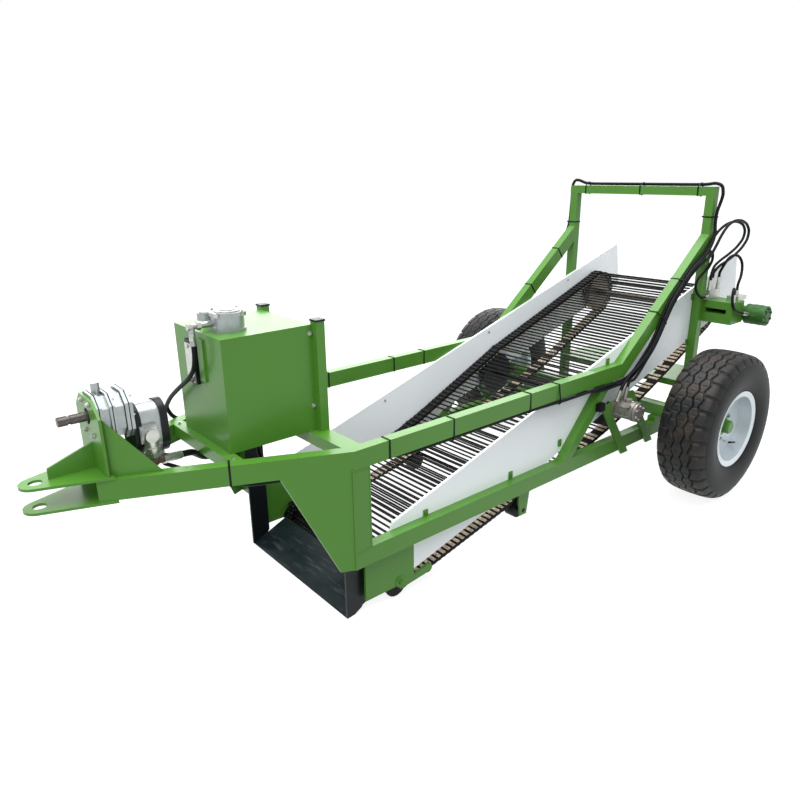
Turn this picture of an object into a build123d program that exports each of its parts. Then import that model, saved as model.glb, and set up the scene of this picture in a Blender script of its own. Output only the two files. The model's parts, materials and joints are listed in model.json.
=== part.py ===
"""Trailed root crop harvester with one rod web.

Working frame: X = 0 on the centre plane, +X to the machine's left, -Y is the
direction of travel, the axle lies at Y = 0 and the ground at Z = 0.  The last
step moves everything along Y so that the origin is the middle of the footprint.
"""
from build123d import *
import math
import os

# ---------------------------------------------------------------- sizes (mm)
# side frames
FRAME_HALF = 494.0        # centre plane to the outer face of the rails
RAIL_H = 80.0
RAIL_W = 50.0
UPPER_TOP_Z = 796.0
LOWER_TOP_Z = 357.0
FRONT_POST = 80.0         # square tube
FRONT_POST_Y = -2300.0    # front face of the front posts
CORNER_STEP = 10.0        # the drawbar starts this far behind the front face
FRONT_PLATE_T = 10.0
FRONT_PLATE_LEN = 284.0
FRONT_PLATE_FOOT = 60.0

# drawbar and hitch
DRAWBAR_END_HALF = 109.65 # centre plane to the outer corner of each rail's front end
DRAWBAR_END_Y = -3118.0   # outer corner of each rail's front end
HITCH_PLATE_T = 10.0
HITCH_HOLE_Y = -3284.0
HITCH_HOLE_D = 47.0
HITCH_NOSE_R = 54.0
HITCH_REAR_Y = -3060.0
HITCH_REAR_HALF = 140.0
STAND_Y = -3083.0         # front face of the gearbox stand
STAND_T = 10.0
STAND_HALF = 126.0
STAND_TOP_HALF = 66.0
STAND_SHOULDER_Z = 1018.0
STAND_TOP_Z = 1072.0
GUSSET_LEN = 170.0
GUSSET_INSET = 25.0
NOSE_RIB_LEN = 158.0
NOSE_RIB_Z = 903.0
NOSE_RIB_TIP_Z = 845.0

# drive line at the front
PTO_Z = 1000.0
PTO_D = 34.9
PTO_LEN_OUT = 100.0
PTO_HOLE_D = 60.0
JOURNAL_D = 42.0
JOURNAL_STEP = 6.0        # the journal starts this far ahead of the stand
SHAFT_FIT = 0.05
GEARBOX_LEN = 124.0
GEARBOX_HALF = 84.0
GEARBOX_LOW = 905.0
GEARBOX_TOP = 1082.0
GEARBOX_RIM = 9.0         # the joint flanges stand out this far
GEARBOX_FLANGES = [(0.0, 20.0), (46.0, 64.0), (98.0, 124.0)]  # from, to, behind the stand
FILLER_D = 30.0
FILLER_H = 34.0
PUMP_LEN = 124.0
PUMP_HALF = 60.0
PUMP_LOW = 812.0
PUMP_TOP = 1008.0
PUMP_COVER_T = 22.0
PUMP_COVER_RIM = 5.0
PUMP_PORT_Z = 908.0
PUMP_PORT_SIZE = 64.0
PUMP_PORT_T = 20.0
ELBOW_D = 46.0
ELBOW_X = 88.0
ELBOW_Y = -2904.0
ELBOW_Z = 806.0

# oil tank
TANK_HALF = 205.0
TANK_REAR_Y = -2266.0
TANK_LEN = 388.0
TANK_H = 442.0
TANK_POST = 40.0
TANK_POST_OUT = 235.0
TANK_POST_H = 455.0
BEAM_H = 50.0
REAR_BEAM_W = 80.0
FRONT_BEAM_W = 50.0
FRONT_BEAM_UNDER = 14.0
FILTER_D = 136.0          # over the lid
FILTER_BODY_D = 124.0
FILTER_H = 74.0
FILTER_LID_T = 14.0
FILTER_FOOT_T = 10.0
FILTER_X = 66.0
FILTER_BACK = 104.0       # filter axis behind the tank's front face
FILTER_PORT_Z = 30.0      # above the tank
FILTER_PIPE_D = 24.0
BREATHER_D = 78.0
BREATHER_NECK_D = 44.0
BREATHER_NECK_H = 22.0
BREATHER_H = 52.0
BREATHER_X = -70.0
BREATHER_BACK = 83.0
POST_CAP_T = 8.0
POST_CAP_RIM = 3.0
GAUGE_X = -43.0
GAUGE_W = 78.0
GAUGE_LOW = 230.0         # above the tank's floor
GAUGE_H = 172.0
GAUGE_T = 15.0
STRIP_X = 39.0
STRIP_W = 44.0
STRIP_LOW = 252.0
STRIP_H = 166.0
STRIP_T = 8.0

# gantry
REAR_KINK_Y = -490.0
GANTRY_Y = 301.0          # front face of the gantry posts
GANTRY_TUBE = 50.0
GANTRY_TOP_Z = 1693.0
BRACE_TOP_Z = 1428.0      # upper edge of the brace at the post's front face

# side brace
SIDE_BRACE_Y = -960.0
SIDE_BRACE_W = 75.0
SIDE_BRACE_RUN = 325.0

# share
SHARE_RISE = 22.8
SHARE_LEN_Y = 195.0
SHARE_T = 12.0
CHEEK_T = 10.0
CHEEK_LEN = 95.0
WALL_T = 12.0
WALL_REAR_Y = -1950.0
WALL_LOW_Z = 66.0

# rod web
WEB_GAP = 9.0             # between the belts and the side boards
BELT_W = 60.0
BELT_T = 16.0
ROD_D = 10.0
ROD_PITCH = 32.0
NOSE_Y = -2030.0
NOSE_Z = 82.0
NOSE_R = 58.0             # to the middle of the belt
DRIVE_Y = 550.0
DRIVE_Z = 955.0
DRIVE_R = 135.0
SAG_Y = -1309.0
SAG_Z = 351.0
SAG_R = 3000.0
AGITATOR_Y = -515.0
AGITATOR_WEB_Z = 716.0
AGITATOR_WEB_R = 300.0
LOW_SAG_Y = -211.0
LOW_SAG_Z = 423.0
LOW_SAG_R = 5000.0
RETURN_Y = -1215.0
RETURN_Z = 150.0
RETURN_ROLLER_D = 100.0
ROLLER_GAP = 0.3

# side boards
BOARD_T = 12.0
BOARD_LIP = 18.0
BOARD_OUTLINE = [         # Y, Z behind the front wall
    (-2066.0, 389.0),
    (815.0, 1272.0),
    (880.0, 970.0),
    (274.0, 780.0),
    (-930.0, 395.0),
    (-1108.0, 331.0),
]
BOARD_FRONT_LOW_Z = 115.0

# axle and wheels
AXLE_Z = 420.0
AXLE_TUBE = 70.0
AXLE_PAD_LEN = 140.0
HUB_GAP = 50.0            # between the axle tube's end and the hub
STUB_D = 50.0
STUB_GAP = 30.0           # between the stub's end and the hub cap
TRACK_HALF = 818.0
TYRE_OD = 840.0
TYRE_W = 290.0
TREAD_W = 236.0
WIDEST_DROP = 108.0       # from the tread down to where the section is widest
SHOULDER_DROP = 40.0
RIM_FLANGE_D = 434.0
RIM_SEAT_D = 389.0
RIM_W = 250.0
RIM_T = 8.0
DISC_X = 38.0             # outer face of the disc, outboard of the rim's middle
DISC_T = 12.0
HUB_D = 120.0
HUB_CAP_D = 76.0
HUB_IN = 128.0
HUB_OUT = 92.0

# rear drive and agitator
DRIVE_SHAFT_D = 50.0
BEARING_D = 110.0
BEARING_W = 26.0
SPROCKET_W = 44.0
MOTOR_X = 672.0
MOTOR_LEN = 118.0
MOTOR_D = 118.0
HOUSING_D = 90.0
BOX_LEN_X = 174.0
BOX_Y_LEN = 149.0
BOX_LOW_Z = 910.0
BOX_TOP_Z = 1040.0
BOX_PLATE_T = 10.0
BOX_SLOT_LOW = 968.0
BOX_SLOT_TOP = 996.0
BOX_SLOT_LEN = 128.0
AGITATOR_Z = 560.0
AGITATOR_SHAFT_D = 30.0
AGITATOR_MOTOR_LEN = 136.0
AGITATOR_MOTOR_D = 96.0
AGITATOR_PORT_IN = 30.0
FEED_PORT = (21.0, 62.0)     # Y, Z of the port elbows from the motor's axis
RETURN_PORT = (-59.0, 48.0)
MOTOR_FLANGE_T = 14.0
MOTOR_FLANGE_RIM = 9.0
BEATER_W = 40.0
LEG_T = 10.0
LEG_W = 67.0
LEG_SLOPE = 0.715         # rearward run for each unit of drop
LEG_FOOT_Z = 252.0
LEG_FRONT_FOOT_Y = -425.0
LEG_REAR_FOOT_Y = -165.0
LEG_FRONT_TOP_Z = 590.0
LEG_REAR_TOP_Z = 622.0

# idler rollers of the web
ROLLER_SHAFT_D = 24.0
RETURN_ROLLER_W = 56.0
HANGER_W = 92.0
HANGER_T = 10.0
ARM_LEN = 88.0            # behind the front wall
ARM_BOSS_D = 46.0
WALL_STEP = 80.0

# pan behind the axle, between the gantry posts
PAN_FRONT_Y = 236.0
PAN_REAR_Y = 590.0
PAN_TOP_Z = 540.0
PAN_T = 8.0
PAN_LIP = 40.0

# hydraulic hoses
RETURN_HOSE_D = 18.0
HOSE_D = 16.0
SUCTION_HOSE_D = 26.0
HOSE_ARC = 0.45           # share of the shorter run that an arc takes up
CRIMP_RIM = 3.0           # a crimp sleeve stands out this far from its hose
SUCTION_START = (50.0, -2792.0, 785.0)
MANIFOLD_X = 508.0
MANIFOLD_W = 26.0
MANIFOLD_TOP_Z = 1098.0
MANIFOLD_PORTS = [(364.0, 1158.0), (390.0, 1170.0), (470.0, 1166.0)]  # Y, top of the crimp
PORT_BLOCK_X = 600.0
PORT_BLOCK_TOP_Z = 1066.0

# routes of the hoses, X, Y, Z of the points that their runs pass between
RETURN_HOSE = [            # filter, right rail and brace, gantry, agitator motor
    (52.0, -2690.0, 1196.0),
    (52.0, -2690.0, 1156.0),
    (34.0, -2690.0, 1102.0),
    (-30.0, -2690.0, 1048.0),
    (-150.0, -2691.0, 980.0),
    (-252.0, -2691.0, 916.0),
    (-322.0, -2688.0, 856.0),
    (-331.0, -2664.0, 806.0),
    (-353.0, -2620.0, 772.0),
    (-479.1, -2347.0, 768.0),
    (-506.0, -2292.7, 765.0),
    (-504.6, -2235.0, 762.0),
    (-504.5, -490.0, 752.0),
    (-504.5, -300.0, 886.0),
    (-504.5, 180.0, 1262.0),
    (-504.5, 316.0, 1400.0),
    (-504.5, 326.0, 1600.0),
    (-508.0, 330.0, 1694.0),
    (-492.0, 336.0, 1728.0),
    (-454.0, 338.0, 1724.0),
    (-410.0, 338.0, 1707.0),
    (-350.0, 338.0, 1703.5),
    (330.0, 338.0, 1703.5),
    (420.0, 338.0, 1704.0),
    (478.0, 338.0, 1713.0),
    (517.0, 338.0, 1700.0),
    (526.0, 341.0, 1650.0),
    (517.0, 342.0, 1608.0),
    (505.5, 335.0, 1555.0),
    (508.0, 327.0, 1490.0),
    (520.0, 322.0, 1430.0),
    (521.0, 296.0, 1376.0),
    (521.0, 254.0, 1330.0),
    (521.0, 170.0, 1288.0),
    (521.0, 76.0, 1232.0),
    (521.0, 2.0, 1167.0),
    (521.0, -84.0, 1091.0),
    (521.0, -140.0, 1008.0),
    (521.0, -184.0, 933.0),
    (521.0, -237.0, 862.0),
    (521.0, -312.0, 796.0),
    (521.0, -384.0, 758.0),
    (521.0, -452.0, 730.0),
    (525.0, -517.0, 686.0),
    (528.0, -536.0, 660.0),
]
FEED_HOSE = [              # manifold, big loop, left brace, agitator motor
    (508.0, 390.0, 1170.0),
    (508.0, 390.0, 1200.0),
    (517.0, 428.0, 1236.0),
    (526.0, 500.0, 1259.0),
    (534.0, 580.0, 1290.0),
    (538.0, 652.0, 1326.0),
    (541.0, 706.0, 1376.0),
    (542.0, 712.0, 1426.0),
    (541.0, 672.0, 1468.0),
    (540.0, 600.0, 1494.0),
    (540.0, 510.0, 1500.0),
    (540.0, 428.0, 1478.0),
    (540.0, 362.0, 1428.0),
    (540.0, 308.0, 1362.0),
    (536.0, 258.0, 1302.0),
    (525.0, 180.0, 1268.0),
    (521.0, 88.0, 1214.0),
    (521.0, 16.0, 1150.0),
    (521.0, -68.0, 1075.0),
    (521.0, -123.0, 998.0),
    (521.0, -168.0, 922.0),
    (521.0, -223.0, 848.0),
    (521.0, -298.0, 782.0),
    (529.0, -368.0, 732.0),
    (538.0, -424.0, 706.0),
    (534.0, -473.0, 700.0),
    (534.0, -480.0, 674.0),
]
PRESSURE_HOSE = [          # manifold, big loop, left brace and rails, pump
    (508.0, 364.0, 1158.0),
    (508.0, 364.0, 1192.0),
    (503.5, 398.0, 1240.0),
    (504.0, 472.0, 1268.0),
    (509.0, 560.0, 1297.0),
    (514.0, 640.0, 1332.0),
    (518.0, 698.0, 1378.0),
    (520.5, 706.0, 1422.0),
    (521.0, 672.0, 1460.0),
    (520.0, 606.0, 1484.0),
    (518.0, 520.0, 1490.0),
    (512.0, 440.0, 1474.0),
    (503.5, 372.0, 1434.0),
    (503.0, 310.0, 1376.0),
    (503.0, 256.0, 1328.0),
    (503.0, 170.0, 1288.0),
    (503.0, 76.0, 1232.0),
    (503.0, 2.0, 1167.0),
    (503.0, -84.0, 1091.0),
    (503.0, -140.0, 1008.0),
    (503.0, -184.0, 933.0),
    (503.0, -237.0, 862.0),
    (503.0, -312.0, 796.0),
    (503.0, -376.0, 744.0),
    (503.0, -440.0, 712.0),
    (503.0, -520.0, 706.0),
    (502.8, -1000.0, 706.5),
    (485.0, -1200.0, 706.5),
    (485.0, -2035.0, 706.5),
    (394.0, -2200.0, 704.0),
    (391.0, -2440.0, 705.0),
    (314.0, -2628.0, 702.0),
    (262.0, -2668.0, 698.0),
    (200.0, -2698.0, 694.0),
    (130.0, -2724.0, 696.0),
    (75.0, -2756.0, 706.0),
    (40.0, -2796.0, 728.0),
    (24.0, -2850.0, 758.0),
    (24.0, -2850.0, 786.0),
]
DRAIN_HOSE = [             # manifold, small loop, left brace and rails, tank
    (508.0, 318.0, 1060.0),
    (508.0, 282.0, 1060.0),
    (504.0, 232.0, 1088.0),
    (504.0, 196.0, 1134.0),
    (504.0, 208.0, 1178.0),
    (504.0, 264.0, 1204.0),
    (504.0, 330.0, 1234.0),
    (504.0, 366.0, 1278.0),
    (504.0, 358.0, 1320.0),
    (504.0, 310.0, 1336.0),
    (503.5, 248.0, 1302.0),
    (503.0, 180.0, 1268.0),
    (503.0, 88.0, 1214.0),
    (503.0, 16.0, 1150.0),
    (503.0, -68.0, 1075.0),
    (503.0, -123.0, 998.0),
    (503.0, -168.0, 922.0),
    (503.0, -223.0, 848.0),
    (503.0, -298.0, 782.0),
    (503.0, -360.0, 724.0),
    (503.0, -424.0, 694.0),
    (503.0, -500.0, 687.0),
    (502.8, -700.0, 688.0),
    (466.0, -830.0, 706.0),
    (466.0, -2000.0, 706.5),
    (375.0, -2165.0, 703.0),
    (372.0, -2330.0, 703.5),
    (366.0, -2430.0, 704.0),
    (318.0, -2500.0, 700.0),
    (230.0, -2516.0, 700.0),
    (156.0, -2506.0, 712.0),
    (120.0, -2498.0, 748.0),
    (120.0, -2498.0, 796.0),
]
SUCTION_HOSE = [           # pump elbow to the tank's floor
    (50.0, -2792.0, 785.0),
    (31.0, -2736.0, 774.5),
    (-10.0, -2706.0, 746.0),
    (-44.0, -2662.0, 708.0),
    (-66.0, -2612.0, 690.0),
    (-78.0, -2550.0, 694.0),
    (-82.0, -2494.0, 726.0),
    (-82.0, -2494.0, 796.0),
]
DRIVE_HOSE = [             # manifold to the web drive's port block
    (508.0, 470.0, 1166.0),
    (508.0, 470.0, 1192.0),
    (537.0, 444.0, 1238.0),
    (551.0, 472.0, 1286.0),
    (564.0, 514.0, 1300.0),
    (575.0, 552.0, 1288.0),
    (583.0, 582.0, 1254.0),
    (588.0, 588.0, 1212.0),
    (597.0, 564.0, 1164.0),
    (600.0, 532.0, 1126.0),
    (600.0, 532.0, 1088.0),
]
BYPASS_HOSE = [            # bracket to the web drive motor
    (655.0, 374.0, 1086.0),
    (655.0, 374.0, 1110.0),
    (664.0, 340.0, 1132.0),
    (676.0, 308.0, 1104.0),
    (682.0, 304.0, 1054.0),
    (683.0, 334.0, 1010.0),
    (685.4, 410.6, 979.6),
    (692.0, 440.0, 973.0),
]

# ------------------------------------------------------------- derived sizes
RAIL_IN = FRAME_HALF - RAIL_W
UPPER_LOW_Z = UPPER_TOP_Z - RAIL_H
LOWER_LOW_Z = LOWER_TOP_Z - RAIL_H
CORNER_Y = FRONT_POST_Y + CORNER_STEP
FRONT_POST_REAR = FRONT_POST_Y + FRONT_POST
GANTRY_REAR = GANTRY_Y + GANTRY_TUBE
DRAWBAR_TURN = math.atan2(FRAME_HALF - DRAWBAR_END_HALF, CORNER_Y - DRAWBAR_END_Y)
TAN_D = math.tan(DRAWBAR_TURN)
COS_D = math.cos(DRAWBAR_TURN)
SIN_D = math.sin(DRAWBAR_TURN)
BOARD_OUT = RAIL_IN
BOARD_IN = BOARD_OUT - BOARD_T
TANK_FRONT_Y = TANK_REAR_Y - TANK_LEN
TANK_TOP_Z = UPPER_TOP_Z + TANK_H
PLATE_TOP_Z = UPPER_TOP_Z + HITCH_PLATE_T
STAND_REAR = STAND_Y + STAND_T
WEB_HALF = BOARD_IN - WEB_GAP
AXLE_HALF = TRACK_HALF - HUB_IN - HUB_GAP
ARM_END_Y = WALL_REAR_Y + ARM_LEN

nodes = {}


# ------------------------------------------------------------------- helpers
def side_prism(points, x0, x1):
    """Solid between x0 and x1 from an outline of (Y, Z) points."""
    face = Plane.YZ * make_face(Polyline(*points, close=True))
    return Pos(x0, 0, 0) * extrude(face, x1 - x0)


def plan_prism(points, z0, z1):
    """Solid between z0 and z1 from an outline of (X, Y) points."""
    face = make_face(Polyline(*points, close=True))
    return Pos(0, 0, z0) * extrude(face, z1 - z0)


def front_prism(points, y0, y1):
    """Solid between y0 and y1 from an outline of (X, Z) points."""
    face = Plane.XZ * make_face(Polyline(*points, close=True))
    return Pos(0, y1, 0) * extrude(face, y1 - y0)


def block(x0, x1, y0, y1, z0, z1):
    return Pos((x0 + x1) / 2, (y0 + y1) / 2, (z0 + z1) / 2) * Box(x1 - x0, y1 - y0, z1 - z0)


def rod_x(x0, x1, y, z, d):
    return Pos((x0 + x1) / 2, y, z) * Rot(0, 90, 0) * Cylinder(d / 2, abs(x1 - x0))


def rod_y(x, y0, y1, z, d):
    return Pos(x, (y0 + y1) / 2, z) * Rot(90, 0, 0) * Cylinder(d / 2, abs(y1 - y0))


def rod_z(x, y, z0, z1, d):
    return Pos(x, y, (z0 + z1) / 2) * Cylinder(d / 2, z1 - z0)


def sleeve(start, end, d):
    """Cylinder from one point to another."""
    way = Vector(*end) - Vector(*start)
    foot = Plane(origin=start, z_dir=way)
    return foot * Cylinder(d / 2, way.length, align=(Align.CENTER, Align.CENTER, Align.MIN))


def right_of(shape):
    """The same piece on the machine's right side."""
    return mirror(shape, about=Plane.YZ)


def pair(name, shape):
    """One node that holds the piece of each side."""
    nodes[name] = shape + right_of(shape)


def both_sides(name, shape):
    nodes[name + "_left"] = shape
    nodes[name + "_right"] = right_of(shape)


# --------------------------------------------------------------- upper rails
half_turn = math.tan(DRAWBAR_TURN / 2)
inner_corner_y = CORNER_Y + RAIL_W * half_turn
brace_slope = (BRACE_TOP_Z - UPPER_TOP_Z) / (GANTRY_Y - REAR_KINK_Y)
low_kink_y = REAR_KINK_Y + RAIL_H * math.tan(math.atan(brace_slope) / 2)
rail_side = side_prism(
    [
        (CORNER_Y, UPPER_LOW_Z),
        (low_kink_y, UPPER_LOW_Z),
        (REAR_KINK_Y, UPPER_TOP_Z),
        (CORNER_Y, UPPER_TOP_Z),
    ],
    RAIL_IN,
    FRAME_HALF,
)
rail_plan = plan_prism(
    [
        (FRAME_HALF, CORNER_Y),
        (FRAME_HALF, low_kink_y),
        (RAIL_IN, low_kink_y),
        (RAIL_IN, inner_corner_y),
    ],
    UPPER_LOW_Z,
    UPPER_TOP_Z,
)
pair("upper_rails", rail_side & rail_plan)

# -------------------------------------------------------------- gantry frame
brace_low_z = UPPER_LOW_Z + (GANTRY_Y - low_kink_y) * brace_slope
pair(
    "gantry_braces",
    side_prism(
        [
            (REAR_KINK_Y, UPPER_TOP_Z),
            (low_kink_y, UPPER_LOW_Z),
            (GANTRY_Y, brace_low_z),
            (GANTRY_Y, BRACE_TOP_Z),
        ],
        RAIL_IN,
        FRAME_HALF,
    ),
)
gantry_low_z = GANTRY_TOP_Z - GANTRY_TUBE
gantry_post = block(FRAME_HALF - GANTRY_TUBE, FRAME_HALF, GANTRY_Y, GANTRY_REAR, LOWER_TOP_Z, gantry_low_z)
pair("gantry_posts", gantry_post)
nodes["gantry_bar"] = block(-FRAME_HALF, FRAME_HALF, GANTRY_Y, GANTRY_REAR, gantry_low_z, GANTRY_TOP_Z)

pan = block(-RAIL_IN, RAIL_IN, PAN_FRONT_Y, PAN_REAR_Y, PAN_TOP_Z - PAN_T, PAN_TOP_Z)
pan_lip = block(-RAIL_IN, RAIL_IN, PAN_FRONT_Y, PAN_FRONT_Y + PAN_T, PAN_TOP_Z - PAN_LIP, PAN_TOP_Z)
nodes["rear_pan"] = pan + pan_lip

# -------------------------------------------- lower rails, front posts, brace
pair(
    "lower_rails",
    block(RAIL_IN, FRAME_HALF, FRONT_POST_REAR, GANTRY_REAR, LOWER_LOW_Z, LOWER_TOP_Z),
)
post_in = FRAME_HALF - FRONT_POST
front_post = block(post_in, FRAME_HALF, FRONT_POST_Y, FRONT_POST_REAR, LOWER_LOW_Z, UPPER_LOW_Z)


def drawbar_x(y, inset=0.0):
    """X of the left drawbar rail's outer face, or of a line inset from it."""
    return FRAME_HALF - (CORNER_Y - y) * TAN_D - inset / COS_D


plate_y = CORNER_Y - FRONT_PLATE_LEN * COS_D
foot_y = FRONT_POST_Y - FRONT_PLATE_FOOT * COS_D
front_plate = plan_prism(
    [
        (drawbar_x(FRONT_POST_Y), FRONT_POST_Y),
        (drawbar_x(plate_y), plate_y),
        (drawbar_x(plate_y, FRONT_PLATE_T), plate_y),
        (drawbar_x(FRONT_POST_Y, FRONT_PLATE_T), FRONT_POST_Y),
    ],
    LOWER_LOW_Z,
    UPPER_LOW_Z,
) & side_prism(
    [
        (FRONT_POST_Y, UPPER_LOW_Z),
        (plate_y, UPPER_LOW_Z),
        (foot_y, LOWER_LOW_Z),
        (FRONT_POST_Y, LOWER_LOW_Z),
    ],
    0,
    FRAME_HALF,
)
pair("front_posts", front_post)
pair("front_plates", front_plate)
pair(
    "side_braces",
    side_prism(
        [
            (SIDE_BRACE_Y, LOWER_TOP_Z),
            (SIDE_BRACE_Y + SIDE_BRACE_W, LOWER_TOP_Z),
            (SIDE_BRACE_Y + SIDE_BRACE_W + SIDE_BRACE_RUN, UPPER_LOW_Z),
            (SIDE_BRACE_Y + SIDE_BRACE_RUN, UPPER_LOW_Z),
        ],
        RAIL_IN,
        FRAME_HALF,
    ),
)

# ------------------------------------------------------------ drawbar, hitch
end_step = RAIL_W * SIN_D
drawbar_rail = plan_prism(
    [
        (FRAME_HALF, CORNER_Y),
        (RAIL_IN, inner_corner_y),
        (drawbar_x(DRAWBAR_END_Y) - RAIL_W * COS_D, DRAWBAR_END_Y + end_step),
        (drawbar_x(DRAWBAR_END_Y), DRAWBAR_END_Y),
    ],
    UPPER_LOW_Z,
    UPPER_TOP_Z,
)
pair("drawbar_rails", drawbar_rail)


def hitch_plate(z0):
    nose = Pos(0, HITCH_HOLE_Y, z0) * Cylinder(HITCH_NOSE_R, HITCH_PLATE_T, align=(Align.CENTER, Align.CENTER, Align.MIN))
    reach = HITCH_HOLE_Y - HITCH_REAR_Y
    spread = math.hypot(reach, HITCH_REAR_HALF)
    turn = math.acos(HITCH_NOSE_R / spread) - math.atan2(-reach, HITCH_REAR_HALF)
    tx = HITCH_NOSE_R * math.cos(turn)
    ty = HITCH_HOLE_Y - HITCH_NOSE_R * math.sin(turn)
    wing = plan_prism(
        [
            (-tx, ty),
            (tx, ty),
            (HITCH_REAR_HALF, HITCH_REAR_Y),
            (-HITCH_REAR_HALF, HITCH_REAR_Y),
        ],
        z0,
        z0 + HITCH_PLATE_T,
    )
    hole = rod_z(0, HITCH_HOLE_Y, z0 - 1, z0 + HITCH_PLATE_T + 1, HITCH_HOLE_D)
    return (nose + wing) - hole


nodes["hitch_plates"] = hitch_plate(UPPER_TOP_Z) + hitch_plate(UPPER_LOW_Z - HITCH_PLATE_T)

# -------------------------------------------------------------- gearbox stand
stand = front_prism(
    [
        (-STAND_HALF, PLATE_TOP_Z),
        (STAND_HALF, PLATE_TOP_Z),
        (STAND_HALF, STAND_SHOULDER_Z),
        (STAND_TOP_HALF, STAND_TOP_Z),
        (-STAND_TOP_HALF, STAND_TOP_Z),
        (-STAND_HALF, STAND_SHOULDER_Z),
    ],
    STAND_Y,
    STAND_REAR,
) - rod_y(0, STAND_Y - 1, STAND_REAR + 1, PTO_Z, PTO_HOLE_D)
gusset_end = STAND_REAR + GUSSET_LEN
gusset = side_prism(
    [
        (STAND_REAR, PLATE_TOP_Z),
        (HITCH_REAR_Y, PLATE_TOP_Z),
        (HITCH_REAR_Y, UPPER_TOP_Z),
        (gusset_end, UPPER_TOP_Z),
        (STAND_REAR, STAND_SHOULDER_Z),
    ],
    0,
    FRAME_HALF,
) & plan_prism(
    [
        (drawbar_x(STAND_REAR, GUSSET_INSET), STAND_REAR),
        (drawbar_x(gusset_end, GUSSET_INSET), gusset_end),
        (drawbar_x(gusset_end, GUSSET_INSET + STAND_T), gusset_end),
        (drawbar_x(STAND_REAR, GUSSET_INSET + STAND_T), STAND_REAR),
    ],
    UPPER_TOP_Z,
    STAND_TOP_Z,
)
rib = side_prism(
    [
        (STAND_Y, PLATE_TOP_Z),
        (STAND_Y, NOSE_RIB_Z),
        (STAND_Y - NOSE_RIB_LEN, NOSE_RIB_TIP_Z),
        (STAND_Y - NOSE_RIB_LEN, PLATE_TOP_Z),
    ],
    -STAND_T / 2,
    STAND_T / 2,
)
nodes["gearbox_stand"] = stand
nodes["stand_gussets"] = gusset.fuse(right_of(gusset), rib)

# ------------------------------------------------- gearbox, pump, input shaft
gearbox_rear = STAND_REAR + GEARBOX_LEN


def gearbox_slice(y0, y1, inset):
    """Eight-sided slice of the gearbox housing, inset from its full outline."""
    half = GEARBOX_HALF - inset
    low = GEARBOX_LOW + inset
    top = GEARBOX_TOP - inset
    cut = GEARBOX_HALF * 0.46
    outline = [
        (-half, low + cut),
        (-half + cut, low),
        (half - cut, low),
        (half, low + cut),
        (half, top - cut),
        (half - cut, top),
        (-half + cut, top),
        (-half, top - cut),
    ]
    return front_prism(outline, y0, y1)


gearbox = gearbox_slice(STAND_REAR, gearbox_rear, GEARBOX_RIM)
flanges = [gearbox_slice(STAND_REAR + y0, STAND_REAR + y1, 0) for y0, y1 in GEARBOX_FLANGES]
filler_y = STAND_REAR + GEARBOX_FLANGES[1][0] - FILLER_D / 2
filler = rod_z(0, filler_y, GEARBOX_TOP - GEARBOX_RIM, GEARBOX_TOP + FILLER_H, FILLER_D)
shaft_end = STAND_REAR + GEARBOX_LEN * 0.6
bore = rod_y(0, STAND_REAR - 1, shaft_end + 1, PTO_Z, JOURNAL_D + 2 * SHAFT_FIT)
flanges = [flange - bore for flange in flanges]
nodes["pump_gearbox"] = (gearbox - bore).fuse(*flanges, filler)
shaft_tip = STAND_Y - PTO_LEN_OUT
journal_y = STAND_Y - JOURNAL_STEP
shaft = rod_y(0, shaft_tip, journal_y, PTO_Z, PTO_D) + rod_y(0, journal_y, shaft_end, PTO_Z, JOURNAL_D)
nodes["input_shaft"] = shaft
pump_rear = gearbox_rear + PUMP_LEN


def pump_slice(y0, y1, rim):
    """Round-ended slice of the pump, standing out by rim."""
    r = PUMP_HALF + rim
    low = PUMP_LOW + PUMP_HALF
    top = PUMP_TOP - PUMP_HALF
    body = block(-r, r, y0, y1, low, top)
    return body.fuse(rod_y(0, y0, y1, top, 2 * r), rod_y(0, y0, y1, low, 2 * r))


pump = pump_slice(gearbox_rear, pump_rear, 0).fuse(
    pump_slice(gearbox_rear, gearbox_rear + PUMP_COVER_T, PUMP_COVER_RIM),
    pump_slice(pump_rear - PUMP_COVER_T, pump_rear, PUMP_COVER_RIM),
)
port_half = PUMP_PORT_SIZE / 2
port_flange = block(
    PUMP_HALF,
    PUMP_HALF + PUMP_PORT_T,
    ELBOW_Y - port_half,
    ELBOW_Y + port_half,
    PUMP_PORT_Z - port_half,
    PUMP_PORT_Z + port_half,
)
nodes["hydraulic_pump"] = pump + port_flange
elbow_in = PUMP_HALF + PUMP_PORT_T
elbow_body = rod_x(elbow_in, ELBOW_X + ELBOW_D / 2, ELBOW_Y, PUMP_PORT_Z, ELBOW_D)
elbow_body = elbow_body.fuse(
    rod_z(ELBOW_X, ELBOW_Y, ELBOW_Z, PUMP_PORT_Z, ELBOW_D),
    Pos(ELBOW_X, ELBOW_Y, ELBOW_Z) * Sphere(ELBOW_D / 2),
    sleeve((ELBOW_X, ELBOW_Y, ELBOW_Z), SUCTION_START, SUCTION_HOSE_D + 2 * CRIMP_RIM),
)
nodes["pump_elbow"] = elbow_body - nodes["hydraulic_pump"]
outlet = PRESSURE_HOSE[-1]
outlet_fitting = rod_z(outlet[0], outlet[1], outlet[2], PUMP_LOW + PUMP_HALF, HOSE_D + 2 * CRIMP_RIM)
nodes["pump_outlet"] = outlet_fitting - nodes["hydraulic_pump"]

# ------------------------------------------------------ tank and cross beams
beam_low_z = UPPER_TOP_Z - BEAM_H


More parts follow.
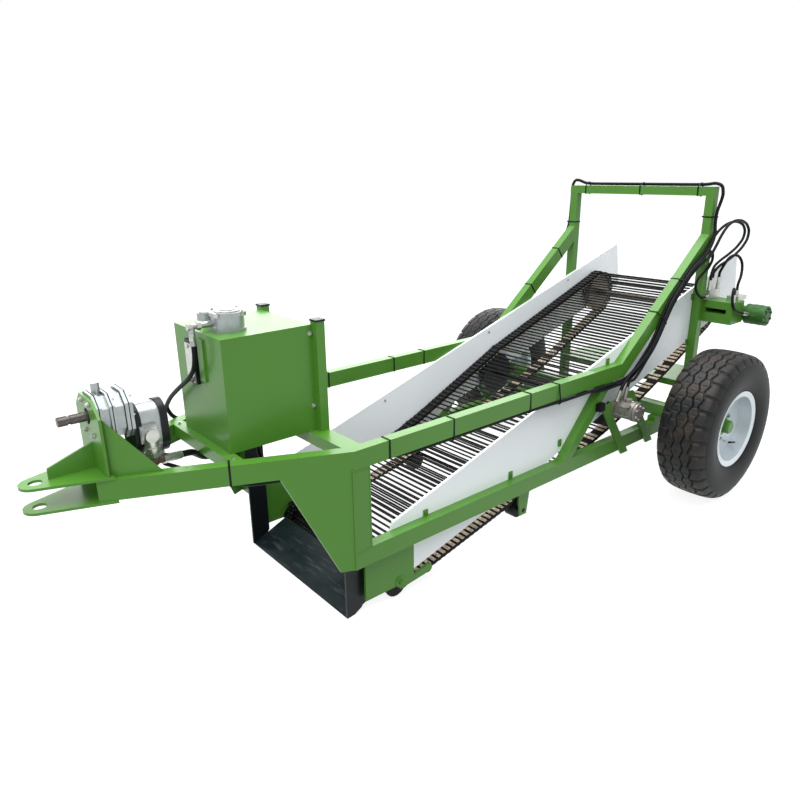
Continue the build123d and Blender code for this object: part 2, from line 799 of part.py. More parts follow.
def cross_beam(y0, y1):
    """Beam between the two rails, cut to their inner faces."""
    reach = FRAME_HALF + 1
    inside = plan_prism(
        [
            (RAIL_IN, inner_corner_y),
            (drawbar_x(DRAWBAR_END_Y, RAIL_W), DRAWBAR_END_Y),
            (-drawbar_x(DRAWBAR_END_Y, RAIL_W), DRAWBAR_END_Y),
            (-RAIL_IN, inner_corner_y),
            (-RAIL_IN, REAR_KINK_Y),
            (RAIL_IN, REAR_KINK_Y),
        ],
        beam_low_z,
        UPPER_TOP_Z,
    )
    return block(-reach, reach, y0, y1, beam_low_z, UPPER_TOP_Z) & inside


tank_post_front = TANK_REAR_Y
tank_post_rear = TANK_REAR_Y + TANK_POST
front_beam_rear = TANK_FRONT_Y + FRONT_BEAM_UNDER
rear_beam = cross_beam(tank_post_rear - REAR_BEAM_W, tank_post_rear)
nodes["tank_beams"] = rear_beam + cross_beam(front_beam_rear - FRONT_BEAM_W, front_beam_rear)
pair(
    "tank_posts",
    block(
        TANK_POST_OUT - TANK_POST,
        TANK_POST_OUT,
        tank_post_front,
        tank_post_rear,
        UPPER_TOP_Z,
        UPPER_TOP_Z + TANK_POST_H,
    ),
)
nodes["oil_tank"] = block(-TANK_HALF, TANK_HALF, TANK_FRONT_Y, TANK_REAR_Y, UPPER_TOP_Z, TANK_TOP_Z)
filter_y = TANK_FRONT_Y + FILTER_BACK
breather_y = TANK_FRONT_Y + BREATHER_BACK
filter_top = TANK_TOP_Z + FILTER_H
filter_port_z = TANK_TOP_Z + FILTER_PORT_Z
return_x = RETURN_HOSE[0][0]
return_y = RETURN_HOSE[0][1]
nodes["return_filter"] = rod_z(FILTER_X, filter_y, TANK_TOP_Z, filter_top, FILTER_BODY_D).fuse(
    rod_z(FILTER_X, filter_y, TANK_TOP_Z, TANK_TOP_Z + FILTER_FOOT_T, FILTER_D),
    rod_z(FILTER_X, filter_y, filter_top - FILTER_LID_T, filter_top, FILTER_D),
    rod_y(return_x, return_y, filter_y, filter_port_z, FILTER_PIPE_D),
    rod_z(return_x, return_y, RETURN_HOSE[0][2], filter_port_z, RETURN_HOSE_D + 2 * CRIMP_RIM),
)
neck_top = TANK_TOP_Z + BREATHER_NECK_H
nodes["tank_breather"] = rod_z(BREATHER_X, breather_y, TANK_TOP_Z, neck_top, BREATHER_NECK_D).fuse(
    rod_z(BREATHER_X, breather_y, neck_top, TANK_TOP_Z + BREATHER_H, BREATHER_D)
)
gauge_low = UPPER_TOP_Z + GAUGE_LOW
nodes["level_gauge"] = block(
    GAUGE_X - GAUGE_W / 2,
    GAUGE_X + GAUGE_W / 2,
    TANK_FRONT_Y - GAUGE_T,
    TANK_FRONT_Y,
    gauge_low,
    gauge_low + GAUGE_H,
)
strip_low = UPPER_TOP_Z + STRIP_LOW
tank_strip = block(
    STRIP_X - STRIP_W / 2,
    STRIP_X + STRIP_W / 2,
    TANK_FRONT_Y - STRIP_T,
    TANK_FRONT_Y,
    strip_low,
    strip_low + STRIP_H,
)
nodes["oil_tank"] = nodes["oil_tank"] + tank_strip
cap_low = UPPER_TOP_Z + TANK_POST_H
pair(
    "post_caps",
    block(
        TANK_POST_OUT - TANK_POST - POST_CAP_RIM,
        TANK_POST_OUT + POST_CAP_RIM,
        tank_post_front - POST_CAP_RIM,
        tank_post_rear + POST_CAP_RIM,
        cap_low,
        cap_low + POST_CAP_T,
    ),
)

# --------------------------------------------------- share, cheeks and walls
share_slope = math.tan(math.radians(SHARE_RISE))
share_rear_y = FRONT_POST_Y + SHARE_LEN_Y
share_rear_z = SHARE_LEN_Y * share_slope
share_dy = SHARE_T * math.sin(math.radians(SHARE_RISE))
share_dz = SHARE_T * math.cos(math.radians(SHARE_RISE))
cheek_in = post_in - CHEEK_T
share_under_y = FRONT_POST_Y + SHARE_T / math.sin(math.radians(SHARE_RISE))
nodes["share_blade"] = side_prism(
    [
        (FRONT_POST_Y, 0),
        (share_under_y, 0),
        (share_rear_y + share_dy, share_rear_z - share_dz),
        (share_rear_y, share_rear_z),
    ],
    -cheek_in,
    cheek_in,
)
cheek_rear = FRONT_POST_Y + CHEEK_LEN
pair(
    "share_cheeks",
    side_prism(
        [
            (FRONT_POST_Y, 0),
            (FRONT_POST_Y + 0.42 * CHEEK_LEN, 4),
            (FRONT_POST_Y + 0.8 * CHEEK_LEN, 24),
            (cheek_rear, 49),
            (cheek_rear, UPPER_LOW_Z),
            (FRONT_POST_Y, UPPER_LOW_Z),
        ],
        cheek_in,
        post_in,
    ),
)
wall_top_z = LOWER_TOP_Z - 12
front_wall = side_prism(
    [
        (FRONT_POST_REAR, WALL_LOW_Z),
            (WALL_REAR_Y - WALL_STEP, WALL_LOW_Z),
        (WALL_REAR_Y, WALL_LOW_Z + 16),
        (WALL_REAR_Y, wall_top_z),
        (FRONT_POST_REAR, wall_top_z),
    ],
    BOARD_IN,
    BOARD_OUT,
)
nose_hole = rod_x(BOARD_IN - 1, BOARD_OUT + 1, NOSE_Y, NOSE_Z, ROLLER_SHAFT_D + 2 * ROLLER_GAP)
pair("front_walls", front_wall - nose_hole)

# ---------------------------------------------------------------- side boards
front_top = BOARD_OUTLINE[0]
board_points = [(WALL_REAR_Y, BOARD_FRONT_LOW_Z), (WALL_REAR_Y, wall_top_z), (front_top[0] - 14, wall_top_z)]
board_points = board_points + BOARD_OUTLINE
shaft_hole = rod_x(BOARD_IN - 1, BOARD_OUT + 1, DRIVE_Y, DRIVE_Z, DRIVE_SHAFT_D + 2 * ROLLER_GAP)
agitator_hole = rod_x(BOARD_IN - 1, BOARD_OUT + 1, AGITATOR_Y, AGITATOR_Z, AGITATOR_SHAFT_D + 2 * ROLLER_GAP)
side_board = side_prism(board_points, BOARD_IN, BOARD_OUT) - shaft_hole - agitator_hole
pair("side_boards", side_board)


# ------------------------------------------------------------------- rod web
def corner_centre(before, here, after, radius):
    """Centre of the arc that rounds the corner at here."""
    a = Vector(before[0] - here[0], before[1] - here[1]).normalized()
    b = Vector(after[0] - here[0], after[1] - here[1]).normalized()
    half = math.acos(max(-1.0, min(1.0, a.dot(b)))) / 2
    way = (a + b).normalized() * (radius / math.sin(half))
    return here[0] + way.X, here[1] + way.Y


def heading_between(bend0, bend1):
    """Direction of the straight run that leaves one bend and enters the next."""
    y0, z0, r0, s0 = bend0
    y1, z1, r1, s1 = bend1
    reach = math.hypot(y1 - y0, z1 - z0)
    return math.atan2(z1 - z0, y1 - y0) - math.asin((s1 * r1 - s0 * r0) / reach)


def on_bend(bend, heading, out):
    """Point on a bend at a heading, moved out of the loop by out."""
    y, z, r, s = bend
    reach = s * r - out
    return y + reach * math.sin(heading), z - reach * math.cos(heading)


return_r = RETURN_ROLLER_D / 2 + ROLLER_GAP + BELT_T / 2
sag_c = corner_centre((NOSE_Y, NOSE_Z + NOSE_R), (SAG_Y, SAG_Z), (AGITATOR_Y, AGITATOR_WEB_Z), SAG_R)
lift_c = corner_centre((SAG_Y, SAG_Z), (AGITATOR_Y, AGITATOR_WEB_Z), (DRIVE_Y, DRIVE_Z + DRIVE_R), AGITATOR_WEB_R)
low_sag_c = corner_centre((DRIVE_Y, DRIVE_Z - DRIVE_R), (LOW_SAG_Y, LOW_SAG_Z), (RETURN_Y, RETURN_Z + return_r), LOW_SAG_R)
# Y and Z of the centre, radius to the middle of the belt, +1 where the loop
# turns left on its way up the top strand and back below, -1 where it turns right
bends = [
    (NOSE_Y, NOSE_Z, NOSE_R, -1),
    (sag_c[0], sag_c[1], SAG_R, 1),
    (lift_c[0], lift_c[1], AGITATOR_WEB_R, -1),
    (DRIVE_Y, DRIVE_Z, DRIVE_R, -1),
    (low_sag_c[0], low_sag_c[1], LOW_SAG_R, -1),
    (RETURN_Y, RETURN_Z, return_r, 1),
]
leave = [heading_between(bends[i], bends[(i + 1) % len(bends)]) for i in range(len(bends))]
enter = [leave[i - 1] for i in range(len(bends))]
turns = []
for bend, first, last in zip(bends, enter, leave):
    turn = (last - first) * bend[3] % (2 * math.pi)
    turns.append(turn * bend[3])


def loop_face(out):
    """Face inside the loop's path moved outwards by out."""
    edges = []
    for i, bend in enumerate(bends):
        start = on_bend(bend, enter[i], out)
        middle = on_bend(bend, enter[i] + turns[i] / 2, out)
        end = on_bend(bend, enter[i] + turns[i], out)
        after = on_bend(bends[(i + 1) % len(bends)], leave[i], out)
        edges.append(ThreePointArc(start, middle, end))
        edges.append(Line(end, after))
    return Plane.YZ * make_face(Wire(edges))


def loop_stations(pitch):
    """Y, Z and heading at even steps of about one pitch along the loop."""
    spans = []
    for i, bend in enumerate(bends):
        end = on_bend(bend, leave[i], 0)
        after = on_bend(bends[(i + 1) % len(bends)], leave[i], 0)
        spans.append((bend[2] * abs(turns[i]), i, None))
        spans.append((math.hypot(after[0] - end[0], after[1] - end[1]), i, end))
    total = sum(span[0] for span in spans)
    count = round(total / pitch)
    step = total / count
    stations = []
    walked = 0.0
    for length, i, start in spans:
        while len(stations) * step < walked + length and len(stations) < count:
            along = len(stations) * step - walked
            if start is None:
                heading = enter[i] + turns[i] * along / length
                y, z = on_bend(bends[i], heading, 0)
            else:
                heading = leave[i]
                y = start[0] + along * math.cos(heading)
                z = start[1] + along * math.sin(heading)
            stations.append((y, z, heading))
        walked += length
    return stations


belt_ring = loop_face(BELT_T / 2) - loop_face(-BELT_T / 2)
belt = Pos(WEB_HALF - BELT_W, 0, 0) * extrude(belt_ring, BELT_W)
rod_half = WEB_HALF - BELT_W
rods = []
for y, z, heading in loop_stations(ROD_PITCH):
    place = Pos(0, y, z) * Rot(math.degrees(heading), 0, 0)
    rods.append(place * Box(2 * rod_half, ROD_D, ROD_D))
nodes["web"] = belt.fuse(right_of(belt), *rods)

# ------------------------------------------------------------ idler rollers
web_in = NOSE_R - BELT_T / 2 - ROLLER_GAP
nose_shaft = rod_x(-BOARD_OUT, BOARD_OUT, NOSE_Y, NOSE_Z, ROLLER_SHAFT_D)
nose_drum = rod_x(-WEB_HALF, WEB_HALF, NOSE_Y, NOSE_Z, 2 * web_in)
nodes["nose_roller"] = nose_drum + nose_shaft
arm_top = [
    (WALL_REAR_Y - WALL_STEP, WALL_LOW_Z),
    (WALL_REAR_Y, WALL_LOW_Z + 16),
    (ARM_END_Y, WALL_LOW_Z + 34),
]
arm = side_prism(
    arm_top + [(ARM_END_Y, WALL_LOW_Z - 6), (WALL_REAR_Y - WALL_STEP, WALL_LOW_Z - 24)],
    BOARD_IN,
    BOARD_OUT,
)
arm = arm + rod_x(BOARD_IN, BOARD_OUT, ARM_END_Y, WALL_LOW_Z + 14, ARM_BOSS_D)
pair("nose_arms", arm)
hanger = side_prism(
    [
        (RETURN_Y - HANGER_W / 2, LOWER_LOW_Z),
        (RETURN_Y + HANGER_W / 2, LOWER_LOW_Z),
        (RETURN_Y + ROLLER_SHAFT_D, RETURN_Z - ROLLER_SHAFT_D),
        (RETURN_Y - ROLLER_SHAFT_D, RETURN_Z - ROLLER_SHAFT_D),
    ],
    RAIL_IN,
    RAIL_IN + HANGER_T,
)
hanger_end = RAIL_IN + HANGER_T
hanger = hanger - rod_x(RAIL_IN - 1, hanger_end + 1, RETURN_Y, RETURN_Z, ROLLER_SHAFT_D + 2 * ROLLER_GAP)
pair("roller_hangers", hanger)
roller_out = WEB_HALF
return_roller = rod_x(roller_out - RETURN_ROLLER_W, roller_out, RETURN_Y, RETURN_Z, RETURN_ROLLER_D)
return_roller = return_roller + rod_x(roller_out, hanger_end, RETURN_Y, RETURN_Z, ROLLER_SHAFT_D)
pair("return_rollers", return_roller)

# ------------------------------------------------------------- top end drive
sprocket_r = DRIVE_R - BELT_T / 2 - ROLLER_GAP
shaft_out = BOARD_OUT + BEARING_W
drive_shaft = rod_x(-shaft_out, MOTOR_X, DRIVE_Y, DRIVE_Z, DRIVE_SHAFT_D)
sprocket_x = WEB_HALF - (BELT_W - SPROCKET_W) / 2
sprocket = rod_x(sprocket_x - SPROCKET_W, sprocket_x, DRIVE_Y, DRIVE_Z, 2 * sprocket_r)
nodes["drive_shaft"] = drive_shaft.fuse(sprocket, right_of(sprocket))
bearing = rod_x(BOARD_OUT, shaft_out, DRIVE_Y, DRIVE_Z, BEARING_D)
bearing = bearing - rod_x(BOARD_OUT - 1, shaft_out + 1, DRIVE_Y, DRIVE_Z, DRIVE_SHAFT_D + 2 * ROLLER_GAP)
pair("drive_bearings", bearing)
housing = rod_x(shaft_out, MOTOR_X, DRIVE_Y, DRIVE_Z, HOUSING_D)
housing = housing - rod_x(shaft_out - 1, MOTOR_X + 1, DRIVE_Y, DRIVE_Z, DRIVE_SHAFT_D + 2 * ROLLER_GAP)
nodes["drive_housing"] = housing
nodes["drive_motor"] = rod_x(MOTOR_X, MOTOR_X + MOTOR_LEN, DRIVE_Y, DRIVE_Z, MOTOR_D)
box_out = FRAME_HALF + BOX_LEN_X
box_rear = GANTRY_REAR + BOX_Y_LEN
box_slot = block(
    FRAME_HALF + BOX_PLATE_T,
    FRAME_HALF + BOX_PLATE_T + BOX_SLOT_LEN,
    GANTRY_REAR - 1,
    box_rear - BOX_PLATE_T,
    BOX_SLOT_LOW,
    BOX_SLOT_TOP,
)
nodes["valve_bracket"] = block(FRAME_HALF, box_out, GANTRY_REAR, box_rear, BOX_LOW_Z, BOX_TOP_Z) - box_slot
crimp_d = HOSE_D + 2 * CRIMP_RIM
manifold = block(
    MANIFOLD_X - MANIFOLD_W / 2,
    MANIFOLD_X + MANIFOLD_W / 2,
    GANTRY_REAR,
    MANIFOLD_PORTS[-1][0] + MANIFOLD_W / 2,
    BOX_TOP_Z,
    MANIFOLD_TOP_Z,
)
ports = [rod_z(MANIFOLD_X, y, MANIFOLD_TOP_Z, top, crimp_d) for y, top in MANIFOLD_PORTS]
low_port = sleeve((MANIFOLD_X, GANTRY_REAR, DRAIN_HOSE[0][2]), DRAIN_HOSE[0], crimp_d)
port_block = block(
    PORT_BLOCK_X - 15,
    PORT_BLOCK_X + 55,
    box_rear - 60,
    box_rear + 48,
    BOX_TOP_Z,
    PORT_BLOCK_TOP_Z,
)
block_ports = [
    rod_z(DRIVE_HOSE[-1][0], DRIVE_HOSE[-1][1], PORT_BLOCK_TOP_Z, DRIVE_HOSE[-1][2], crimp_d),
    rod_z(BYPASS_HOSE[0][0], BYPASS_HOSE[0][1], BOX_TOP_Z, BYPASS_HOSE[0][2], crimp_d),
    sleeve(BYPASS_HOSE[-1], (703.0, 489.0, 962.0), crimp_d),
]
nodes["valve_manifold"] = manifold.fuse(*ports, low_port)
motor_port = block_ports[2] - nodes["drive_motor"]
nodes["drive_ports"] = port_block.fuse(block_ports[0]) + block_ports[1] + motor_port

# ----------------------------------------------------------------- agitator
agitator_out = FRAME_HALF + LEG_T
beater_r = math.hypot(AGITATOR_Y - lift_c[0], AGITATOR_Z - lift_c[1])
beater_r = AGITATOR_WEB_R - BELT_T / 2 - beater_r - ROLLER_GAP
agitator_shaft = rod_x(-agitator_out, agitator_out, AGITATOR_Y, AGITATOR_Z, AGITATOR_SHAFT_D)
beater = rod_x(sprocket_x - BEATER_W, sprocket_x, AGITATOR_Y, AGITATOR_Z, 2 * beater_r)
nodes["agitator"] = agitator_shaft.fuse(beater, right_of(beater))


def leg(foot_y, top_z):
    top_y = foot_y - (top_z - LEG_FOOT_Z) * LEG_SLOPE
    return side_prism(
        [
            (foot_y, LEG_FOOT_Z),
            (foot_y + LEG_W, LEG_FOOT_Z),
            (top_y + LEG_W, top_z),
            (top_y, top_z),
        ],
        FRAME_HALF,
        agitator_out,
    )


front_leg_y = LEG_FRONT_FOOT_Y - (AGITATOR_Z - LEG_FOOT_Z) * LEG_SLOPE
rear_leg_y = LEG_REAR_FOOT_Y - (AGITATOR_Z - LEG_FOOT_Z) * LEG_SLOPE
motor_plate = side_prism(
    [
        (front_leg_y + LEG_W / 2 + 50 * LEG_SLOPE, AGITATOR_Z - 50),
        (rear_leg_y + LEG_W / 2 + 50 * LEG_SLOPE, AGITATOR_Z - 50),
        (rear_leg_y + LEG_W / 2 - 50 * LEG_SLOPE, AGITATOR_Z + 50),
        (front_leg_y + LEG_W / 2 - 30 * LEG_SLOPE, AGITATOR_Z + 30),
    ],
    FRAME_HALF,
    agitator_out,
)
agitator_bracket = motor_plate.fuse(
    leg(LEG_FRONT_FOOT_Y, LEG_FRONT_TOP_Z),
    leg(LEG_REAR_FOOT_Y, LEG_REAR_TOP_Z),
)
agitator_bore = rod_x(FRAME_HALF - 1, agitator_out + 1, AGITATOR_Y, AGITATOR_Z, AGITATOR_SHAFT_D + 2 * ROLLER_GAP)
pair("agitator_brackets", agitator_bracket - agitator_bore)
flange_d = AGITATOR_MOTOR_D + 2 * MOTOR_FLANGE_RIM
flange_end = agitator_out + MOTOR_FLANGE_T
motor_end = agitator_out + AGITATOR_MOTOR_LEN
port_x = agitator_out + AGITATOR_PORT_IN
feed_port = (port_x, AGITATOR_Y + FEED_PORT[0], AGITATOR_Z + FEED_PORT[1])
return_port = (port_x, AGITATOR_Y + RETURN_PORT[0], AGITATOR_Z + RETURN_PORT[1])
agitator_motor = rod_x(agitator_out, motor_end, AGITATOR_Y, AGITATOR_Z, AGITATOR_MOTOR_D)
nodes["agitator_motor"] = agitator_motor.fuse(
    rod_x(agitator_out, flange_end, AGITATOR_Y, AGITATOR_Z, flange_d),
    rod_x(motor_end - MOTOR_FLANGE_T, motor_end, AGITATOR_Y, AGITATOR_Z, flange_d - MOTOR_FLANGE_RIM),
    sleeve((port_x, AGITATOR_Y, AGITATOR_Z), feed_port, crimp_d),
    sleeve(feed_port, FEED_HOSE[-1], crimp_d),
    sleeve((port_x, AGITATOR_Y, AGITATOR_Z), return_port, crimp_d),
    sleeve(return_port, RETURN_HOSE[-1], crimp_d),
)

# ------------------------------------------------------------ axle and wheels
axle_low_z = AXLE_Z - AXLE_TUBE / 2
nodes["axle_beam"] = block(
    -AXLE_HALF,
    AXLE_HALF,
    -AXLE_TUBE / 2,
    AXLE_TUBE / 2,
    axle_low_z,
    AXLE_Z + AXLE_TUBE / 2,
)
stub_end = TRACK_HALF + HUB_OUT - STUB_GAP
stub = rod_x(AXLE_HALF, stub_end, 0, AXLE_Z, STUB_D)
pair("axle_stubs", stub)
pad_half = AXLE_PAD_LEN / 2
pair("axle_pads", block(RAIL_IN, FRAME_HALF, -pad_half, pad_half, LOWER_TOP_Z, axle_low_z))


def wheel_ring(points):
    """Solid of revolution about the axle from (distance out, radius) points."""
    face = make_face(Polyline(*points, close=True))
    ring = revolve(face, Axis.X, 360)
    return Pos(TRACK_HALF, 0, AXLE_Z) * ring


seat_r = RIM_SEAT_D / 2
flange_r = RIM_FLANGE_D / 2
rim_out = RIM_W / 2
well_r = seat_r - 26
hub_r = HUB_D / 2
rim_profile = [
    (-rim_out, flange_r),
    (-rim_out + RIM_T, flange_r),
    (-rim_out + RIM_T + 4, seat_r),
    (-60, seat_r - 3),
    (-46, well_r),
    (0, well_r),
    (30, seat_r - 3),
    (rim_out - RIM_T - 4, seat_r),
    (rim_out - RIM_T, flange_r),
    (rim_out, flange_r),
    (rim_out, flange_r - RIM_T),
    (rim_out - RIM_T + 2, seat_r - RIM_T),
    (DISC_X + 4, seat_r - RIM_T - 3),
    (DISC_X, well_r - RIM_T - 8),
    (DISC_X, hub_r + 0.01),
    (DISC_X - DISC_T, hub_r + 0.01),
    (DISC_X - DISC_T, well_r - RIM_T - 8),
    (0, well_r - RIM_T),
    (-46, well_r - RIM_T),
    (-64, seat_r - RIM_T - 3),
    (-rim_out + RIM_T - 2, seat_r - RIM_T),
    (-rim_out, flange_r - RIM_T),
]
both_sides("wheel_rim", wheel_ring(rim_profile))
bore_r = STUB_D / 2 + SHAFT_FIT
hub_profile = [
    (-HUB_IN, bore_r),
    (-HUB_IN, HUB_CAP_D / 2 + 8),
    (DISC_X - DISC_T - 14, HUB_CAP_D / 2 + 8),
    (DISC_X - DISC_T - 14, hub_r),
    (DISC_X + 6, hub_r),
    (DISC_X + 6, HUB_CAP_D / 2),
    (HUB_OUT - 8, HUB_CAP_D / 2),
    (HUB_OUT, HUB_CAP_D / 2 - 8),
    (HUB_OUT, 0),
    (HUB_OUT - 24, 0),
    (HUB_OUT - 24, bore_r),
]
both_sides("wheel_hub", wheel_ring(hub_profile))
tyre_r = TYRE_OD / 2
tread_half = TREAD_W / 2
bead_gap = ROLLER_GAP
side_half = TYRE_W / 2
tyre_profile = [
    (-rim_out + RIM_T + 5, seat_r + bead_gap),
    (-rim_out + RIM_T + 2, flange_r),
    (-rim_out + 1, flange_r + 6),
    (-side_half + 6, flange_r + 40),
    (-side_half, tyre_r - WIDEST_DROP),
    (-side_half + 4, tyre_r - 0.62 * WIDEST_DROP),
    (-side_half + 13, tyre_r - SHOULDER_DROP),
    (-tread_half, tyre_r - 0.36 * SHOULDER_DROP),
    (-tread_half * 0.6, tyre_r - 0.08 * SHOULDER_DROP),
    (0, tyre_r),
]
tyre_profile = tyre_profile + [(-x, r) for x, r in reversed(tyre_profile[:-1])]
both_sides("tyre", wheel_ring(tyre_profile))

# --------------------------------------------------------------------- hoses
def hose(points, d):
    """Tube along straight runs joined by tangent arcs, with its arc radii."""
    corners = [Vector(*point) for point in points]
    runs = [b - a for a, b in zip(corners, corners[1:])]
    radii = []
    for before, after in zip(runs, runs[1:]):
        half = math.radians(before.get_angle(after)) / 2
        radii.append(HOSE_ARC * min(before.length, after.length) / math.tan(half))
    path = FilletPolyline(*corners, radius=radii)
    profile = Plane(origin=path @ 0, z_dir=path % 0) * Circle(d / 2)
    return sweep(profile, path=path), path.length, radii


hoses = [
    ("return_hose", RETURN_HOSE, RETURN_HOSE_D),
    ("feed_hose", FEED_HOSE, HOSE_D),
    ("pressure_hose", PRESSURE_HOSE, HOSE_D),
    ("drain_hose", DRAIN_HOSE, HOSE_D),
    ("suction_hose", SUCTION_HOSE, SUCTION_HOSE_D),
    ("drive_hose", DRIVE_HOSE, HOSE_D),
    ("bypass_hose", BYPASS_HOSE, HOSE_D),
]
for name, points, d in hoses:
    nodes[name], length, radii = hose(points, d)
    print(name, "length", round(length), "radii", [round(r) for r in radii])

# -------------------------------------------------------------------- export
y_front = HITCH_HOLE_Y - HITCH_NOSE_R
y_rear = max(point[0] for point in BOARD_OUTLINE)
recentre = Pos(0, -(y_front + y_rear) / 2, 0)
os.makedirs("parts", exist_ok=True)
for name, shape in nodes.items():
    export_step(recentre * shape, f"parts/{name}.step")
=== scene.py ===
import json
import math
import bpy
import bmesh
from mathutils import Matrix, Vector


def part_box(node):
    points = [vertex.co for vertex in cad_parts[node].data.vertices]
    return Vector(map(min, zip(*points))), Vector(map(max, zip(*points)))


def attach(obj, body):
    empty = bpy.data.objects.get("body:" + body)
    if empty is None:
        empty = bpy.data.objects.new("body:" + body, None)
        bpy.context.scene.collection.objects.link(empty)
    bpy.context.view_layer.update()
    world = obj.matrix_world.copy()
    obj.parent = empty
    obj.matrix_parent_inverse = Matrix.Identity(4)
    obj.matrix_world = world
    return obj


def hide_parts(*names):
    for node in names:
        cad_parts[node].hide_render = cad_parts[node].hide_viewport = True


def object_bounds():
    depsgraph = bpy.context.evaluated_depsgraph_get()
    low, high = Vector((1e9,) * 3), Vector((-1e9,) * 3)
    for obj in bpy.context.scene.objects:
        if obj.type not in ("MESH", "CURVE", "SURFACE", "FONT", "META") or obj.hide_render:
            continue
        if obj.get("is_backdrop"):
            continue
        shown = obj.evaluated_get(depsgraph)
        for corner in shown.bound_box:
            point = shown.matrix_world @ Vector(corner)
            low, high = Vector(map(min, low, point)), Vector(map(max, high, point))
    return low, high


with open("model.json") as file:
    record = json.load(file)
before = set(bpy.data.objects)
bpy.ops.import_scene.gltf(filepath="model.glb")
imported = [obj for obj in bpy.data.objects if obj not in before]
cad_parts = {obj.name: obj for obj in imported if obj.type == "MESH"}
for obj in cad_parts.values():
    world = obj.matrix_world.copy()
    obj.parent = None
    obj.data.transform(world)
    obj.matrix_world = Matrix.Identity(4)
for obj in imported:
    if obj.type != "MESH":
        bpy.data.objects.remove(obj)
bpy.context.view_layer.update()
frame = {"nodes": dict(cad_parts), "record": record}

# Lengths and places are in millimetres about the axle unless a comment says
# metres: X to the machine's left, Y to the rear, Z up from the ground.
SHIFT = 1.229            # the axle's Y in this frame, metres
FORWARD = Vector((0, -1, 0))
REARWARD = Vector((0, 1, 0))
UP = Vector((0, 0, 1))
LEFT = Vector((1, 0, 0))
SIDES = (-1, 1)          # right and left

# the part's driving sizes, as the CAD has them
FRAME_HALF = 494         # outer face of the side frames
FRONT_Y = -2300          # front face of the front posts
UPPER_LOW_Z = 716
LOWER_TOP_Z = 357
STAND_Y = -3083          # front face of the gearbox stand
PTO_Z = 1000
GEARBOX_Z = 993.5        # middle height
PUMP_FRONT_Y = -2949
PUMP_REAR_Y = -2825
PUMP_Z = 910
NOSE_Y, NOSE_Z = -2030, 82
AGITATOR_Y, AGITATOR_Z = -515, 560
DRIVE_Y, DRIVE_Z = 550, 955
AXLE_Z = 420.0
TRACK_HALF = 818.0
TYRE_R = 420.0
scene = bpy.context.scene


def at(x, y, z):
    """A point in millimetres about the axle, in metres in this frame."""
    return Vector((x / 1000, y / 1000 + SHIFT, z / 1000))


# ------------------------------------------------------------------- camera
CAMERA_AT = (2.4143, -3.6653 + SHIFT, 1.8082)    # metres
CAMERA_RIGHT = (0.6441, 0.76485, -0.01164)
CAMERA_UP = (-0.24081, 0.21718, 0.94596)
CAMERA_BACK = (0.72605, -0.60649, 0.32407)
cam_data = bpy.data.cameras.new("camera")
cam_data.lens = 30.30
cam_data.sensor_width = 36.0
cam_data.clip_end = 60.0
cam = bpy.data.objects.new("camera", cam_data)
scene.collection.objects.link(cam)
columns = (CAMERA_RIGHT, CAMERA_UP, CAMERA_BACK, CAMERA_AT)
cam.matrix_world = Matrix((*zip(*columns), (0, 0, 0, 1)))
scene.camera = cam
scene.view_settings.view_transform = "Standard"


# ---------------------------------------------------------------- materials
def new_material(name):
    mat = bpy.data.materials.new(name)
    mat.use_nodes = True
    tree = mat.node_tree
    bsdf = tree.nodes["Principled BSDF"]
    return mat, tree, bsdf


def noise(tree, scale, detail=4.0, rough=0.5, stretch=None):
    """Noise over the object's own coordinates, stretched where asked."""
    tex = tree.nodes.new("ShaderNodeTexNoise")
    tex.inputs["Scale"].default_value = scale
    tex.inputs["Detail"].default_value = detail
    tex.inputs["Roughness"].default_value = rough
    place = tree.nodes.new("ShaderNodeTexCoord").outputs["Object"]
    if stretch:
        mapping = tree.nodes.new("ShaderNodeMapping")
        mapping.inputs["Scale"].default_value = stretch
        tree.links.new(place, mapping.inputs["Vector"])
        place = mapping.outputs["Vector"]
    tree.links.new(place, tex.inputs["Vector"])
    return tex.outputs["Fac"]


def ramp(tree, source, stops):
    """Colours that follow a value, from (value, colour) stops."""
    node = tree.nodes.new("ShaderNodeValToRGB")
    while len(node.color_ramp.elements) < len(stops):
        node.color_ramp.elements.new(0.5)
    for element, (pos, colour) in zip(node.color_ramp.elements, stops):
        element.position = pos
        element.color = (*colour, 1.0)
    tree.links.new(source, node.inputs["Fac"])
    return node.outputs["Color"]


def scaled(colour, k):
    return tuple(min(1.0, c * k) for c in colour)


def srgb(r, g, b):
    """Linear colour of a screen colour from 0 to 255."""
    out = []
    for v in (r, g, b):
        v = v / 255
        out.append(v / 12.92 if v <= 0.04045 else ((v + 0.055) / 1.055) ** 2.4)
    return tuple(out)


def coat(name, colour, rough, spread=0.12, scale=6.0, metallic=0.0,
         clear=0.0, bump=0.0, bump_scale=300.0, spec=0.5):
    """A finish whose colour drifts by spread either way over broad patches."""
    mat, tree, bsdf = new_material(name)
    low, high = scaled(colour, 1 - spread), scaled(colour, 1 + spread)
    tint = ramp(tree, noise(tree, scale), [(0.3, low), (0.7, high)])
    tree.links.new(tint, bsdf.inputs["Base Color"])
    bsdf.inputs["Roughness"].default_value = rough
    bsdf.inputs["Metallic"].default_value = metallic
    bsdf.inputs["Coat Weight"].default_value = clear
    bsdf.inputs["Coat Roughness"].default_value = 0.12
    bsdf.inputs["Specular IOR Level"].default_value = spec
    if bump:
        fine = noise(tree, bump_scale, detail=3.0)
        bumper = tree.nodes.new("ShaderNodeBump")
        bumper.inputs["Strength"].default_value = bump
        bumper.inputs["Distance"].default_value = 0.001
        tree.links.new(fine, bumper.inputs["Height"])
        tree.links.new(bumper.outputs["Normal"], bsdf.inputs["Normal"])
    return mat


